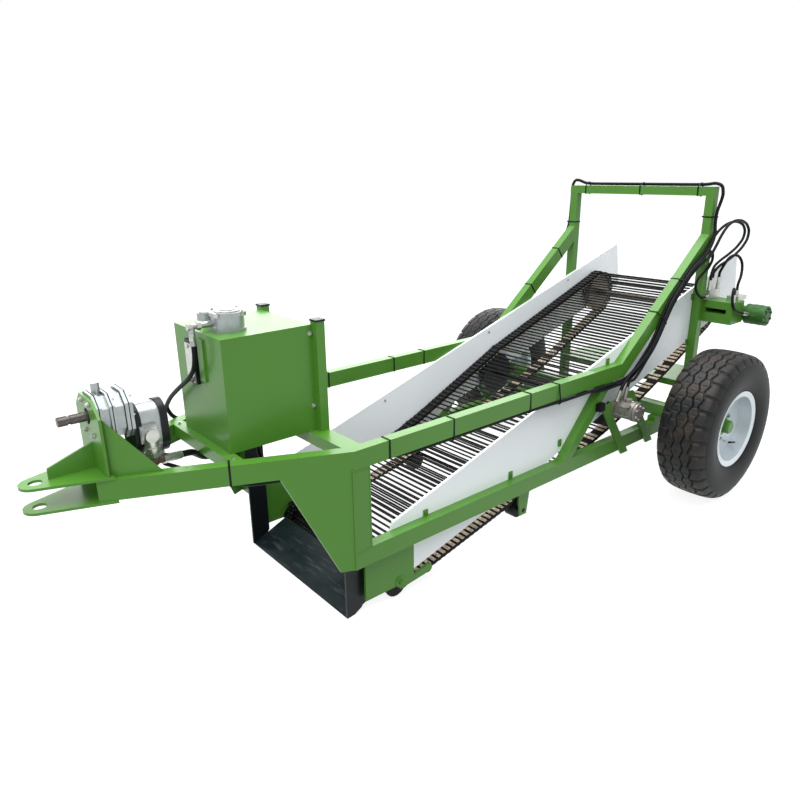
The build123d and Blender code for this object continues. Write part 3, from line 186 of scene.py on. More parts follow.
def worn_and_highlit_black():
    """Black paint on the share, rubbed glossy in patches; its lighter streaks are partly
    soil scratches and partly painted highlight.
    """
    mat = coat("share_black", srgb(23, 34, 37), 0.3, spread=0.4, scale=5.0,
               spec=0.25, bump=0.2, bump_scale=60.0)
    tree = mat.node_tree
    bsdf = tree.nodes["Principled BSDF"]
    patches = noise(tree, 4.0, detail=5.0, rough=0.6)
    shine = ramp(tree, patches, [
        (0.35, (0.12, 0.12, 0.12)),
        (0.65, (0.55, 0.55, 0.55)),
    ])
    tree.links.new(shine, bsdf.inputs["Roughness"])
    # lighter streaks in the colour: partly scratches from soil, partly painted highlight in
    # place of reflections
    lines = noise(tree, 4.0, detail=6.0, rough=0.7, stretch=(1.2, 9.0, 9.0))
    scratch_and_highlight_streaks = ramp(tree, lines, [
        (0.53, (0.009, 0.015, 0.017)),
        (0.72, (0.055, 0.068, 0.069)),
    ])
    tree.links.new(scratch_and_highlight_streaks, bsdf.inputs["Base Color"])
    return mat


def dusty_tread():
    """Tyre rubber with brown soil dust rubbed into it in patches."""
    mat = coat("dusty_rubber", srgb(20, 22, 23), 0.5, spec=0.3, bump=0.3,
               bump_scale=160.0)
    tree = mat.node_tree
    patches = noise(tree, 7.0, detail=6.0, rough=0.7)
    dust = ramp(tree, patches, [
        (0.46, srgb(19, 21, 22)),
        (0.70, srgb(60, 50, 43)),
    ])
    base = tree.nodes["Principled BSDF"].inputs["Base Color"]
    tree.links.new(dust, base)
    return mat


GREEN = coat("green_paint", srgb(75, 129, 40), 0.38, spread=0.05, scale=3.0,
             clear=0.15, spec=0.35, bump=0.06, bump_scale=120.0)
WHITE = coat("white_paint", srgb(250, 252, 254), 0.35, spread=0.02, scale=3.0,
             clear=0.2, bump=0.03)
BLACK = coat("black_paint", srgb(15, 20, 23), 0.4, spread=0.25, scale=9.0,
             clear=0.1, spec=0.2, bump=0.15, bump_scale=90.0)
WEB = coat("web_steel", srgb(36, 36, 36), 0.42, spread=0.3, scale=25.0,
           bump=0.1)
STEEL = coat("bare_steel", srgb(120, 112, 105), 0.35, spread=0.2, scale=40.0,
             metallic=1.0)
RUBBER = coat("black_rubber", srgb(14, 16, 18), 0.5, spread=0.2, scale=20.0,
              spec=0.15, bump=0.2)
ALLOY = coat("cast_alloy", srgb(160, 166, 166), 0.3, scale=20.0,
             metallic=0.75, bump=0.25, bump_scale=400.0)
IRON = coat("silver_iron", srgb(138, 134, 128), 0.42, spread=0.15, scale=25.0,
            metallic=0.6, bump=0.3)
ZINC = coat("zinc_steel", srgb(190, 190, 186), 0.3, scale=60.0, metallic=0.9)
PIPE = coat("pipe_paint", srgb(96, 78, 62), 0.5, spread=0.35, scale=35.0,
            bump=0.3, bump_scale=200.0)
RIM = coat("rim_paint", srgb(212, 219, 224), 0.3, spread=0.05, scale=8.0,
           metallic=0.4, clear=0.3)
TYRE = coat("tyre_rubber", srgb(19, 21, 23), 0.5, spread=0.3, scale=14.0,
            spec=0.2, bump=0.3, bump_scale=160.0)
RUST = coat("rod_ends", srgb(204, 184, 158), 0.55, spread=0.5, scale=60.0,
            bump=0.3, bump_scale=250.0)
BELT = coat("belt_rubber", srgb(12, 13, 14), 0.6, spread=0.3, scale=30.0,
            spec=0.15, bump=0.3, bump_scale=220.0)
RODS = coat("rod_steel", srgb(11, 10, 10), 0.32, spread=0.3, scale=35.0,
            spec=0.2, clear=0.1)
RIVET = coat("rivet_steel", srgb(62, 60, 58), 0.4, spread=0.3, scale=60.0,
             metallic=0.5)
SHAFT = coat("shaft_steel", srgb(96, 90, 88), 0.38, spread=0.25, scale=50.0,
             metallic=0.8, bump=0.2)
DARK_GREEN = coat("motor_green", srgb(44, 92, 34), 0.45, scale=30.0,
                  spec=0.3, bump=0.2, bump_scale=200.0)
SHARE = worn_and_highlit_black()
TREAD = dusty_tread()
BY_SLOT = {
    "green_paint": GREEN,
    "white_paint": WHITE,
    "black_paint": BLACK,
    "web_steel": WEB,
    "bare_steel": STEEL,
    "black_rubber": RUBBER,
    "cast_aluminium": ALLOY,
    "silver_iron": IRON,
    "zinc_steel": ZINC,
    "pipe_paint": PIPE,
    "rim_paint": RIM,
    "tyre_rubber": TYRE,
}
OWN_PAINT = {"share_blade": SHARE, "drive_motor": DARK_GREEN}
SLOT_OF = {row["node"]: row["material_slot"] for row in frame["record"]["subparts"]}
for node_name, obj in frame["nodes"].items():
    finish = OWN_PAINT.get(node_name, BY_SLOT[SLOT_OF[node_name]])
    obj.data.materials.clear()
    obj.data.materials.append(finish)


# ------------------------------------------------------------ mesh building
def steps_round(count, radius, start=0.5):
    """Points at even steps round a circle, the first at a share of a step."""
    turns = [2 * math.pi * (i + start) / count for i in range(count)]
    return [(radius * math.cos(t), radius * math.sin(t)) for t in turns]


def quads(rows, wide, rows_close, wide_closes):
    """Faces over rows of points, each way closing on itself if asked."""
    faces = []
    for i in range(rows if rows_close else rows - 1):
        j = (i + 1) % rows
        for k in range(wide if wide_closes else wide - 1):
            m = (k + 1) % wide
            faces.append((i * wide + k, i * wide + m, j * wide + m, j * wide + k))
    return faces


class Shape:
    """Faces gathered into one mesh, in millimetres about the axle."""

    def __init__(self):
        self.verts = []
        self.faces = []
        self.slots = []

    def add(self, verts, faces, slot=0):
        start = len(self.verts)
        self.verts.extend(tuple(v) for v in verts)
        self.faces.extend(tuple(start + i for i in face) for face in faces)
        self.slots.extend([slot] * len(faces))

    def rod(self, a, b, r, sides=10, slot=0, r_end=None):
        """Round or polygonal bar from a to b, with closed ends."""
        a = Vector(a)
        b = Vector(b)
        r_end = r if r_end is None else r_end
        axis = (b - a).normalized()
        u = axis.orthogonal().normalized()
        v = axis.cross(u)
        turns = [2 * math.pi * i / sides for i in range(sides)]
        ways = [u * math.cos(t) + v * math.sin(t) for t in turns]
        verts = [a + way * r for way in ways] + [b + way * r_end for way in ways]
        faces = quads(2, sides, False, True)
        faces += [tuple(reversed(range(sides))), tuple(range(sides, 2 * sides))]
        self.add(verts, faces, slot)

    def box(self, centre, size, u=LEFT, v=REARWARD, slot=0):
        """Box about a centre, with its first two axes along u and v."""
        u = Vector(u).normalized()
        v = Vector(v).normalized()
        w = u.cross(v)
        centre = Vector(centre)
        long, wide, high = size
        ends = (-0.5, 0.5)
        corners = [(i, j, k) for i in ends for j in ends for k in ends]
        verts = [
            centre + u * (i * long) + v * (j * wide) + w * (k * high)
            for i, j, k in corners
        ]
        faces = [
            (0, 1, 3, 2), (4, 6, 7, 5), (0, 4, 5, 1),
            (2, 3, 7, 6), (0, 2, 6, 4), (1, 5, 7, 3),
        ]
        self.add(verts, faces, slot)

    def bolt(self, foot, axis, d):
        """Washer, hexagon head and stud end, standing on foot along axis."""
        foot = Vector(foot)
        axis = Vector(axis).normalized()
        self.rod(foot - axis, foot + axis * 0.18 * d, 1.1 * d, 14)
        self.rod(foot, foot + axis * 0.75 * d, 0.86 * d, 6, r_end=0.8 * d)
        self.rod(foot, foot + axis * 1.05 * d, 0.46 * d, 8)

    def stack(self, rings):
        """Solid through closed rings of points, flat at both ends."""
        wide = len(rings[0])
        verts = [point for ring in rings for point in ring]
        last = range(len(verts) - wide, len(verts))
        faces = [tuple(range(wide)), tuple(reversed(last))]
        self.add(verts, faces + quads(len(rings), wide, False, True))

    def slab(self, outline, y0, y1):
        """Plate with an outline in X and Z, from y0 to y1."""
        self.stack([[(x, y, z) for x, z in outline] for y in (y0, y1)])

    def piece(self, name, slot_name, materials, body="chassis", smooth=40):
        """The finished object; edges over smooth degrees stay sharp."""
        mesh = bpy.data.meshes.new(name)
        mesh.from_pydata([at(*v) for v in self.verts], [], self.faces)
        for mat in materials:
            mesh.materials.append(mat)
        mesh.polygons.foreach_set("material_index", self.slots)
        mesh.validate()
        normals = bmesh.new()
        normals.from_mesh(mesh)
        bmesh.ops.recalc_face_normals(normals, faces=normals.faces)
        normals.to_mesh(mesh)
        normals.free()
        mesh.shade_smooth()
        mesh.set_sharp_from_angle(angle=math.radians(smooth))
        obj = bpy.data.objects.new(name, mesh)
        scene.collection.objects.link(obj)
        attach(obj, body)
        return obj


def node_points(name):
    """A CAD node's vertices in millimetres about the axle."""
    obj = frame["nodes"][name]
    shift = Vector((0, SHIFT, 0))
    return [(obj.matrix_world @ v.co - shift) * 1000 for v in obj.data.vertices]


# ---------------------------------------------------------------------- web
BELT_W = 60.0
BELT_HALF_T = 8.0
BELT_STEPS = 4           # sections of a belt from one rod to the next
ROD_CORNERS = 4          # of the CAD's square rods
ROD_DIAGONAL = 14.8      # just over their 14.14
ROD_R = 5.2
ROD_OVER = 6             # how far a rod reaches into the belt
PLATE_SKIN = 1.6         # from the belt's face to the middle of an end plate
PLATE_IN = 27            # from the belt's inner edge to its middle
INNER_PLATE = (62, 17, 4)
OUTER_PLATE = (62, 15, 5)
RIVETS_IN = (12, 42)     # from the belt's inner edge
RIVET_HEADS = (          # from and to, off the belt's middle; radii; material
    (9, 14.5, 6.5, 4.5, 3),
    (-10, -14, 5.5, 3.8, 2),
)


def rod_stations(points):
    """Y, Z of each rod's middle, from the corners where the rods meet the belts."""
    belt_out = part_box("web")[1][0] * 1000
    belt_in = belt_out - BELT_W
    corners = sorted({
        (round(p.y, 1), round(p.z, 1)) for p in points if abs(p.x - belt_in) < 0.5
    })
    groups = []
    for y, z in corners:
        for group in groups:
            if all(math.hypot(y - a, z - b) < ROD_DIAGONAL for a, b in group):
                group.append((y, z))
                break
        else:
            groups.append([(y, z)])
    middles = []
    for group in groups:
        if len(group) == ROD_CORNERS:
            ys, zs = zip(*group)
            middles.append((sum(ys) / ROD_CORNERS, sum(zs) / ROD_CORNERS))
    return middles, belt_in, belt_out


def in_order(middles):
    """The stations as they follow one another round the loop."""
    left = list(middles)
    ordered = [left.pop(0)]
    while left:
        y, z = ordered[-1]
        near = min(left, key=lambda m: math.hypot(m[0] - y, m[1] - z))
        left.remove(near)
        ordered.append(near)
    return [Vector((0, y, z)) for y, z in ordered]


def belt_path(loop, tangents, outward):
    """Points and outward directions of a smooth curve through the rods."""
    path = []
    count = len(loop)
    for i in range(count):
        j = (i + 1) % count
        a, b = loop[i], loop[j]
        span = (b - a).length
        for k in range(BELT_STEPS):
            t = k / BELT_STEPS
            p = a * (2 * t**3 - 3 * t**2 + 1)
            p += tangents[i] * span * (t**3 - 2 * t**2 + t)
            p += b * (-2 * t**3 + 3 * t**2)
            p += tangents[j] * span * (t**3 - t**2)
            path.append((p, (outward[i] * (1 - t) + outward[j] * t).normalized()))
    return path


def dress_web():
    """Rubber belts, round rods, and the plates and rivets that hold them."""
    middles, belt_in, belt_out = rod_stations(node_points("web"))
    loop = in_order(middles)
    count = len(loop)
    print("web rods", count)
    tangents = [(loop[(i + 1) % count] - loop[i - 1]).normalized() for i in range(count)]
    area = sum(loop[i - 1].cross(loop[i]).x for i in range(count))
    turn_sign = 1 if area > 0 else -1
    outward = [Vector((0, t.z, -t.y)) * turn_sign for t in tangents]
    path = belt_path(loop, tangents, outward)
    section = ((belt_in, -1), (belt_in, 1), (belt_out, 1), (belt_out, -1))
    web = Shape()
    for side in SIDES:
        verts = []
        for p, n in path:
            for x, face in section:
                verts.append(p + n * face * BELT_HALF_T + LEFT * (side * x))
        web.add(verts, quads(len(path), len(section), True, True))
    for p, n, along in zip(loop, outward, tangents):
        end = LEFT * (belt_in + ROD_OVER)
        web.rod(p - end, p + end, ROD_R, 10, 1)
        for side in SIDES:
            skin = n * (BELT_HALF_T + PLATE_SKIN)
            middle = LEFT * side * (belt_in + PLATE_IN)
            web.box(p - skin + middle, INNER_PLATE, u=LEFT, v=along, slot=2)
            web.box(p + skin + middle, OUTER_PLATE, u=LEFT, v=along, slot=1)
            for rivet_in in RIVETS_IN:
                head = p + LEFT * side * (belt_in + rivet_in)
                for start, end, r, r_end, slot in RIVET_HEADS:
                    web.rod(head + n * start, head + n * end, r, 8, slot, r_end)
    return web.piece("web_loop", "web_steel", [BELT, RODS, RUST, RIVET])


web_piece = dress_web()
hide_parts("web")

# -------------------------------------------------------------------- tyres
BLOCKS = 31
BLOCK_STEPS = 18         # sections round the tyre in each block's pitch
GROOVE_DEPTH = 10.0
GROOVE_WAVE = 8
GROOVES = (              # middle across the tread, start of the wave, half width
    (-70, 0.0, 4.5),
    (-26, 0.5, 3.6),
    (26, 0.0, 3.6),
    (70, 0.5, 4.5),
)
SHOULDER_X = 74          # the gaps between shoulder blocks start here
SHOULDER_DROP = 40       # and end this far below the crown
SIPES_X = (-48, 0, 48)   # short cuts across the ribs
SIPE_HALF_LEN = 13
TREAD_LOW_R = 366        # only what is further out than this is cut
FINE_LOW_R = 372         # and only that far out is the section fine
FINE_STEP = 3.2
COARSE_STEP = 14
WALL_FACES = 13          # faces from each bead that keep clean rubber
HALF_SECTION = (         # from the bead to the crown: X from the middle, radius
    (108, 200), (113, 212), (124, 222), (136, 252), (143, 285), (145, 312),
    (143.5, 336), (139.5, 360), (132.5, 380), (125, 395), (117, 405), (104, 411),
    (88, 415), (70, 417), (48, 418.6), (24, 419.6),
)


def zigzag(turns):
    """Runs evenly between -1 and 1 and back, once a turn."""
    return 4 * abs((turns % 1.0) - 0.5) - 1


def step(value, edge, soft):
    """Rises from 0 to 1 across an edge, over a width of soft."""
    return max(0.0, min(1.0, (value - edge) / soft + 0.5))


def tread_depth(x, drop, theta):
    """How far the tread is cut, from 0 to 1, at a place across and round it."""
    turns = theta / (2 * math.pi) * BLOCKS
    cut = 0.0
    for middle, phase, half in GROOVES:
        off = abs(x - middle - GROOVE_WAVE * zigzag(turns + phase))
        cut = max(cut, 1 - step(off, half, 2.5))
    if abs(x) > SHOULDER_X:
        phase = 0.25 if x > 0 else 0.75
        off = abs((turns + phase) % 1.0 - 0.5) * 2 * math.pi * TYRE_R / BLOCKS
        edge = 1 - step(drop, SHOULDER_DROP, 14)
        cut = max(cut, (1 - step(off, 6.5 + 0.06 * drop, 4)) * edge)
    for middle in SIPES_X:
        off = abs((turns * 2 + 0.25) % 1.0 - 0.5) * math.pi * TYRE_R / BLOCKS
        if abs(x - middle) < SIPE_HALF_LEN:
            cut = max(cut, 0.5 * (1 - step(off, 1.2, 1.5)))
    return cut


def tyre_section():
    """The section from bead to bead as (X, radius), with its outward normals."""
    outline = [Vector((-x, r)) for x, r in HALF_SECTION]
    outline += [Vector((0, TYRE_R))]
    outline += [Vector((x, r)) for x, r in reversed(HALF_SECTION)]
    fine = []
    for a, b in zip(outline, outline[1:]):
        on_tread = min(a.y, b.y) > FINE_LOW_R
        parts = max(1, round((b - a).length / (FINE_STEP if on_tread else COARSE_STEP)))
        fine += [a.lerp(b, k / parts) for k in range(parts)]
    fine.append(outline[-1])
    normals = []
    for i in range(len(fine)):
        way = fine[min(i + 2, len(fine) - 1)] - fine[max(i - 2, 0)]
        normals.append(Vector((-way.y, way.x)).normalized())
    return fine, normals


def dress_tyre(side):
    """The tyre with its tread cut in, and dust on the tread's faces."""
    middle_x = TRACK_HALF if side == "left" else -TRACK_HALF
    section, normals = tyre_section()
    rounds = BLOCKS * BLOCK_STEPS
    verts = []
    for j in range(rounds):
        theta = 2 * math.pi * j / rounds
        for p, n in zip(section, normals):
            q = p
            if p.y > TREAD_LOW_R:
                q = p - n * GROOVE_DEPTH * tread_depth(p.x, TYRE_R - p.y, theta)
            y, z = q.y * math.cos(theta), q.y * math.sin(theta)
            verts.append((middle_x + q.x, y, AXLE_Z + z))
    shape = Shape()
    shape.add(verts, quads(rounds, len(section), True, False))
    strip = len(section) - 1
    tread = range(WALL_FACES, strip - WALL_FACES)
    shape.slots = [int(i % strip in tread) for i in range(len(shape.faces))]
    body = "wheel_" + side
    piece = shape.piece("tyre_tread_" + side, "tyre_rubber", [TYRE, TREAD], body, smooth=50)
    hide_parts("tyre_" + side)


for side in ("left", "right"):
    dress_tyre(side)

# ------------------------------------------------------------ wheel fittings
DISC_X = 38              # outer face of the wheel's disc from the tyre's middle
NUT_RING_R = 80
VALVE_R = 160
VALVE_TURN = -0.9        # radians
for side, sign in (("left", 1), ("right", -1)):
    face_x = sign * (TRACK_HALF + DISC_X)
    nuts = Shape()
    for y, z in steps_round(6, NUT_RING_R):
        nuts.bolt((face_x, y, AXLE_Z + z), (sign, 0, 0), 13)
    nuts.piece("wheel_nuts_" + side, "zinc_steel", [ZINC], "wheel_" + side)
    valve = Shape()
    y, z = VALVE_R * math.cos(VALVE_TURN), VALVE_R * math.sin(VALVE_TURN)
    foot = Vector((face_x + sign * 22, y, AXLE_Z + z))
    lean = Vector((sign * 0.8, -0.25, 0.35)).normalized()
    valve.rod(foot - lean * 12, foot + lean * 20, 6, 10, r_end=4)
    valve.rod(foot + lean * 20, foot + lean * 32, 4.4, 10)
    valve.piece("tyre_valve_" + side, "black_rubber", [RUBBER], "wheel_" + side)

# --------------------------------------------------------------- cable ties
TIE_W = 7.5
TIE_SINK = 0.5           # how far the strap's inside lies in what it holds
TIE_OUT = 3.0            # and how far its outside stands off
TIE_HEAD = (9, 8, 6)


def hull(points):
    """Convex outline round flat points."""
    points = sorted(set(points))

    def chain(run):
        out = []
        for p in run:
            while len(out) > 1:
                (ax, ay), (bx, by) = out[-2], out[-1]
                if (bx - ax) * (p[1] - ay) - (by - ay) * (p[0] - ax) > 0:
                    break
                out.pop()
            out.append(p)
        return out[:-1]

    return chain(points) + chain(points[::-1])


def cut_points(names, centre, normal, u, v, reach):
    """Where a plane cuts the nodes' edges near centre, along u and v."""
    found = []
    for name in names:
        points = node_points(name)
        for edge in frame["nodes"][name].data.edges:
            a, b = points[edge.vertices[0]], points[edge.vertices[1]]
            da, db = (a - centre).dot(normal), (b - centre).dot(normal)
            if da * db < 0:
                p = a.lerp(b, da / (da - db)) - centre
                if p.length < reach:
                    found.append((round(p.dot(u), 1), round(p.dot(v), 1)))
    return found


def tie(shape, names, centre, normal, reach):
    """Strap round what the nodes show where a plane cuts them near centre."""
    centre = Vector(centre)
    normal = Vector(normal).normalized()
    u = normal.orthogonal().normalized()
    v = normal.cross(u)
    ring = hull(cut_points(names, centre, normal, u, v, reach))
    total = len(ring)
    mid_x = sum(x for x, y in ring) / total
    mid_y = sum(y for x, y in ring) / total
    verts = []
    for x, y in ring:
        d = math.hypot(x - mid_x, y - mid_y)
        for out in (-TIE_SINK, TIE_OUT):
            k = 1 + out / d
            p = centre + u * (mid_x + (x - mid_x) * k) + v * (mid_y + (y - mid_y) * k)
            verts += [p - normal * TIE_W / 2, p + normal * TIE_W / 2]
    faces = []
    for i in range(total):
        a, b = 4 * i, 4 * ((i + 1) % total)
        faces += [
            (a, b, b + 1, a + 1),
            (a + 2, a + 3, b + 3, b + 2),
            (a, a + 2, b + 2, b),
            (a + 1, b + 1, b + 3, a + 3),
        ]
    shape.add(verts, faces)
    lowest = min(range(0, len(verts), 4), key=lambda i: verts[i + 2].z)
    foot = (verts[lowest + 2] + verts[lowest + 3]) / 2
    shape.box(foot + UP, TIE_HEAD, u=normal.orthogonal(), v=normal)


ALONG_BRACE = (0, 0.781, 0.624)
ALONG_DRAWBAR = (0.42, 0.907, 0)
LEFT_BRACE = ["gantry_braces", "return_hose", "feed_hose", "pressure_hose", "drain_hose"]
ties = Shape()
for x in (-379, 19, 393):
    tie(ties, ["gantry_bar", "return_hose"], (x, 330, 1678), LEFT, 70)
tie(ties, ["gantry_posts", "return_hose"], (-475, 326, 1455), UP, 70)
tie(ties, ["gantry_posts", "return_hose"], (475, 326, 1526), UP, 70)
for y, z in ((162, 1252), (-105, 1039)):
    tie(ties, ["gantry_braces", "return_hose"], (-475, y, z), ALONG_BRACE, 95)
for y, z in ((40, 1170), (-157, 1000)):
    tie(ties, LEFT_BRACE, (480, y, z), ALONG_BRACE, 125)
for y in (-2117, -1760, -1252, -1036):
    tie(ties, ["upper_rails", "pressure_hose", "drain_hose"], (470, y, 750), REARWARD, 90)
for y in (-1767, -1319, -1089):
    tie(ties, ["upper_rails", "return_hose"], (-470, y, 756), REARWARD, 90)
tie(ties, ["drawbar_rails"], (276, -2700, 756), ALONG_DRAWBAR, 80)
ties.piece("cable_ties", "black_rubber", [RUBBER])

# -------------------------------------------------------------------- bolts
BOARD_IN = 432           # faces of the side boards
BOARD_OUT = 444
BEARING_OUT = 470        # outer face of the drive's bearings
TANK_HALF = 205
TANK_BOLT_Y = -2278
BEAM_BOLT = (249, -2666, 796)             # front tank beam on the drawbar
GEARBOX_JOINTS_Y = (-3009, -2949)
PUMP_PORT = (80, -2904, 908)
AGITATOR_STUD_X = (512, 600)
AGITATOR_END_X = 640
bolts = Shape()
for x, z in ((-40, 1052), (40, 1052), (-44, 938), (44, 938)):
    bolts.bolt((x, STAND_Y, z), FORWARD, 10)
for z in (1204, 905):
    for sign in SIDES:
        bolts.bolt((sign * TANK_HALF, TANK_BOLT_Y, z), (sign, 0, 0), 9)
for sign in SIDES:
    bolts.bolt((sign * BEAM_BOLT[0], *BEAM_BOLT[1:]), UP, 8)
for y, z in steps_round(6, 36):
    bolts.bolt((AGITATOR_END_X, AGITATOR_Y + y, AGITATOR_Z + z), LEFT, 8)
for wide, narrow in zip(steps_round(6, 52), steps_round(6, 50)):
    start, end = (
        (x, AGITATOR_Y + y, AGITATOR_Z + z)
        for x, (y, z) in zip(AGITATOR_STUD_X, (wide, narrow))
    )
    bolts.rod(start, end, 5)
for y, z in steps_round(4, 41):
    for sign in SIDES:
        bolts.bolt((sign * BEARING_OUT, DRIVE_Y + y, DRIVE_Z + z), (sign, 0, 0), 9)
for x, z in steps_round(4, 1):
    bolts.bolt((38 * x, PUMP_REAR_Y, PUMP_Z + 62 * z), REARWARD, 7)
for y, z in steps_round(4, 31):
    bolts.bolt((PUMP_PORT[0], PUMP_PORT[1] + y, PUMP_PORT[2] + z), LEFT, 6)
for half, z in ((60.72, 1062), (73.6, 993), (55.2, 925)):
    for sign in SIDES:
        for y in GEARBOX_JOINTS_Y:
            bolts.bolt((sign * half, y, z), REARWARD, 6)
for y, z in ((244, 1068), (-546, 824), (-1400, 560)):
    for sign in SIDES:
        bolts.rod((sign * (BOARD_IN - 1), y, z), (sign * (BOARD_IN - 4), y, z), 7)
bolts.piece("bolts", "zinc_steel", [ZINC])

# ------------------------------------------------ nose discs and motor trim
DISC_Y, DISC_Z = -2044, 66
BLOCK = Vector((509, -684, 597))          # black block on the left lower frame
discs = Shape()
for sign in SIDES:
    start, end = ((sign * x, DISC_Y, DISC_Z) for x in (424, BOARD_IN - 1))
    discs.rod(start, end, 58, 40)
discs.box(BLOCK, (30, 46, 40))
discs.box(BLOCK + UP * 21, (22, 30, 10))
discs.piece("nose_discs", "black_rubber", [RUBBER])

MOTOR_END_X = 790
motor_trim = Shape()
for x0, x1 in ((676, 684), (708, 716), (752, 760)):
    motor_trim.rod((x0, DRIVE_Y, DRIVE_Z), (x1, DRIVE_Y, DRIVE_Z), 60.5, 40)
for y, z in steps_round(7, 52):
    y, z = DRIVE_Y + y, DRIVE_Z + z
    motor_trim.rod((718, y, z), (750, y, z), 9, 10)
for y, z in steps_round(7, 43):
    motor_trim.bolt((MOTOR_END_X - 1, DRIVE_Y + y, DRIVE_Z + z), LEFT, 10)
cap = Vector((MOTOR_END_X - 1, DRIVE_Y, DRIVE_Z))
motor_trim.rod(cap, cap + LEFT * 4, 26, 28)
motor_trim.piece("drive_motor_trim", "green_paint", [DARK_GREEN])

ribs = Shape()
for x0, x1, r in ((522, 530, 55), (548, 556, 52), (574, 582, 52), (604, 622, 54)):
    ribs.rod((x0, AGITATOR_Y, AGITATOR_Z), (x1, AGITATOR_Y, AGITATOR_Z), r, 28)
ribs.rod((570, AGITATOR_Y, 600), (570, AGITATOR_Y, 622), 20, 8)
ribs.rod((596, -545, 590), (596, -566, 604), 15, 8)
cap = Vector((AGITATOR_END_X, AGITATOR_Y, AGITATOR_Z))
ribs.rod(cap, cap + LEFT * 6, 24, 24)
ribs.piece("agitator_motor_ribs", "silver_iron", [IRON])

# ------------------------------------------- painted tabs, bolts and weld beads
TABS = ((-1883, 368), (-1319, 378), (-937, 444), (-558, 812))
TAB_X = BOARD_OUT + 3.5
POST_TABS_Z = (780, 1060)
POST_TAB_Y = 289         # just ahead of the gantry posts
BEAD_PITCH = 7
BEAD_OVERLAP = 1.15      # a bead's length over its pitch
STAND_HALF = 126
WELDS = (                # from, to, on the left; the right side mirrors them
    ((414, FRONT_Y - 1, UPPER_LOW_Z), (FRAME_HALF, FRONT_Y - 1, UPPER_LOW_Z)),
    ((FRAME_HALF, FRONT_Y, 290), (FRAME_HALF, FRONT_Y, UPPER_LOW_Z)),
    ((FRAME_HALF, FRONT_Y + 80, LOWER_TOP_Z), (FRAME_HALF, FRONT_Y + 80, UPPER_LOW_Z)),
    ((FRAME_HALF, FRONT_Y, LOWER_TOP_Z), (FRAME_HALF, FRONT_Y + 78, LOWER_TOP_Z)),
    ((FRAME_HALF, FRONT_Y, UPPER_LOW_Z), (FRAME_HALF, FRONT_Y + 78, UPPER_LOW_Z)),
    ((120, STAND_Y, 802), (60, STAND_Y, 802)),
    ((STAND_HALF, STAND_Y + 5, 806), (STAND_HALF, STAND_Y + 5, 880)),
    ((122, STAND_Y - 7, 797), (100, STAND_Y - 57, 800)),
)
painted = Shape()
for y, z in TABS:
    for sign in SIDES:
        painted.box((sign * TAB_X, y, z), (6, 24, 38))
        painted.rod((sign * 450, y, z + 6), (sign * 455, y, z + 6), 7, 6)
for z in POST_TABS_Z:
    for sign in SIDES:
        painted.box((sign * (BOARD_OUT + 3), POST_TAB_Y, z), (6, 22, 34))
for sign in SIDES:
    foot = Vector((sign * BOARD_OUT, NOSE_Y, NOSE_Z))
    painted.bolt(foot, (sign, 0, 0), 16)
    painted.rod(foot, foot + LEFT * sign * 4, 27, 24)
for a, b in WELDS:
    for sign in SIDES:
        p, q = Vector((a[0] * sign, *a[1:])), Vector((b[0] * sign, *b[1:]))
        beads = max(2, int((q - p).length / BEAD_PITCH))
        for i in range(beads):
            start, end = p.lerp(q, i / beads), p.lerp(q, (i + BEAD_OVERLAP) / beads)
            painted.rod(start, end, 3.4, 6, r_end=2.2)
painted.piece("motor_bolts", "green_paint", [GREEN])

# ------------------------------------------------------ pump covers, seams
COVER_R = 66
COVER_HALF = 38          # from the pump's middle to each half circle's centre
COVER_T = 26
SEAM_HALF_T = 1.6
SEAM_CUT = 38.6          # at the gearbox's corners
SEAM_TALLER = 4.5
covers = Shape()
half_turn = [math.pi * i / 16 for i in range(17)]
outline = []
for z, start in ((PUMP_Z + COVER_HALF, 0), (PUMP_Z - COVER_HALF, math.pi)):
    for t in half_turn:
        t = start + t
        outline.append((COVER_R * math.cos(t), z + COVER_R * math.sin(t)))
covers.slab(outline, PUMP_FRONT_Y - 0.5, PUMP_FRONT_Y - 0.5 + COVER_T + 1)
covers.slab(outline, PUMP_REAR_Y - COVER_T, PUMP_REAR_Y + 0.5)
covers.piece("pump_covers", "black_paint", [BLACK])

seams = Shape()
for y, half in ((-3063, 84.7), (-3054, 75.8), (-3018, 84.7), (-2962, 84.7), (-2975, 75.8)):
    low, high = GEARBOX_Z - half - SEAM_TALLER, GEARBOX_Z + half + SEAM_TALLER
    inner = half - SEAM_CUT
    outline = [
        (-half, low + SEAM_CUT), (-inner, low), (inner, low), (half, low + SEAM_CUT),
        (half, high - SEAM_CUT), (inner, high), (-inner, high), (-half, high - SEAM_CUT),
    ]
    seams.slab(outline, y - SEAM_HALF_T, y + SEAM_HALF_T)
seams.piece("gearbox_seams", "black_rubber", [RUBBER])

# ---------------------------------------------------------- pipe fittings
ELBOW = Vector((88, *PUMP_PORT[1:]))      # the suction pipe's corner
SLEEVE_FOOT = (70, -2851, 796)            # on the slope down to the suction hose
TANK_FRONT_Y = -2654
FILTER_TOP = Vector((66, TANK_FRONT_Y + 104, 1312))
FILTER_PORT = Vector((52, -2690, 1268))
BREATHER_TOP = Vector((-70, TANK_FRONT_Y + 83, 1290))
GAUGE_FACE_Y = -2669
NUTS_AT = (              # feet of the hose nuts that stand upright
    (508, 364, 1100),
    (508, 390, 1100),
    (508, 470, 1100),
    (600, 532, 1068),
    (655, 374, 1042),
    (52, -2690, 1216),
)
fittings = Shape()
fittings.rod(ELBOW, ELBOW - UP * 80, 24.6, 24)
fittings.rod(ELBOW - LEFT * 7.5, ELBOW + LEFT * 24, 24.6, 24)
fittings.rod(ELBOW - LEFT * 7.5, ELBOW, 30, 24)
fittings.rod(ELBOW - UP * 46, ELBOW - UP * 58, 30, 24)
fittings.rod(ELBOW - UP * 66, ELBOW - UP * 84, 29, 6)
fittings.rod(SLEEVE_FOOT, (49, -2789, 784.4), 17.2, 20)
fittings.rod((76, -2869, 799.4), SLEEVE_FOOT, 20, 6)
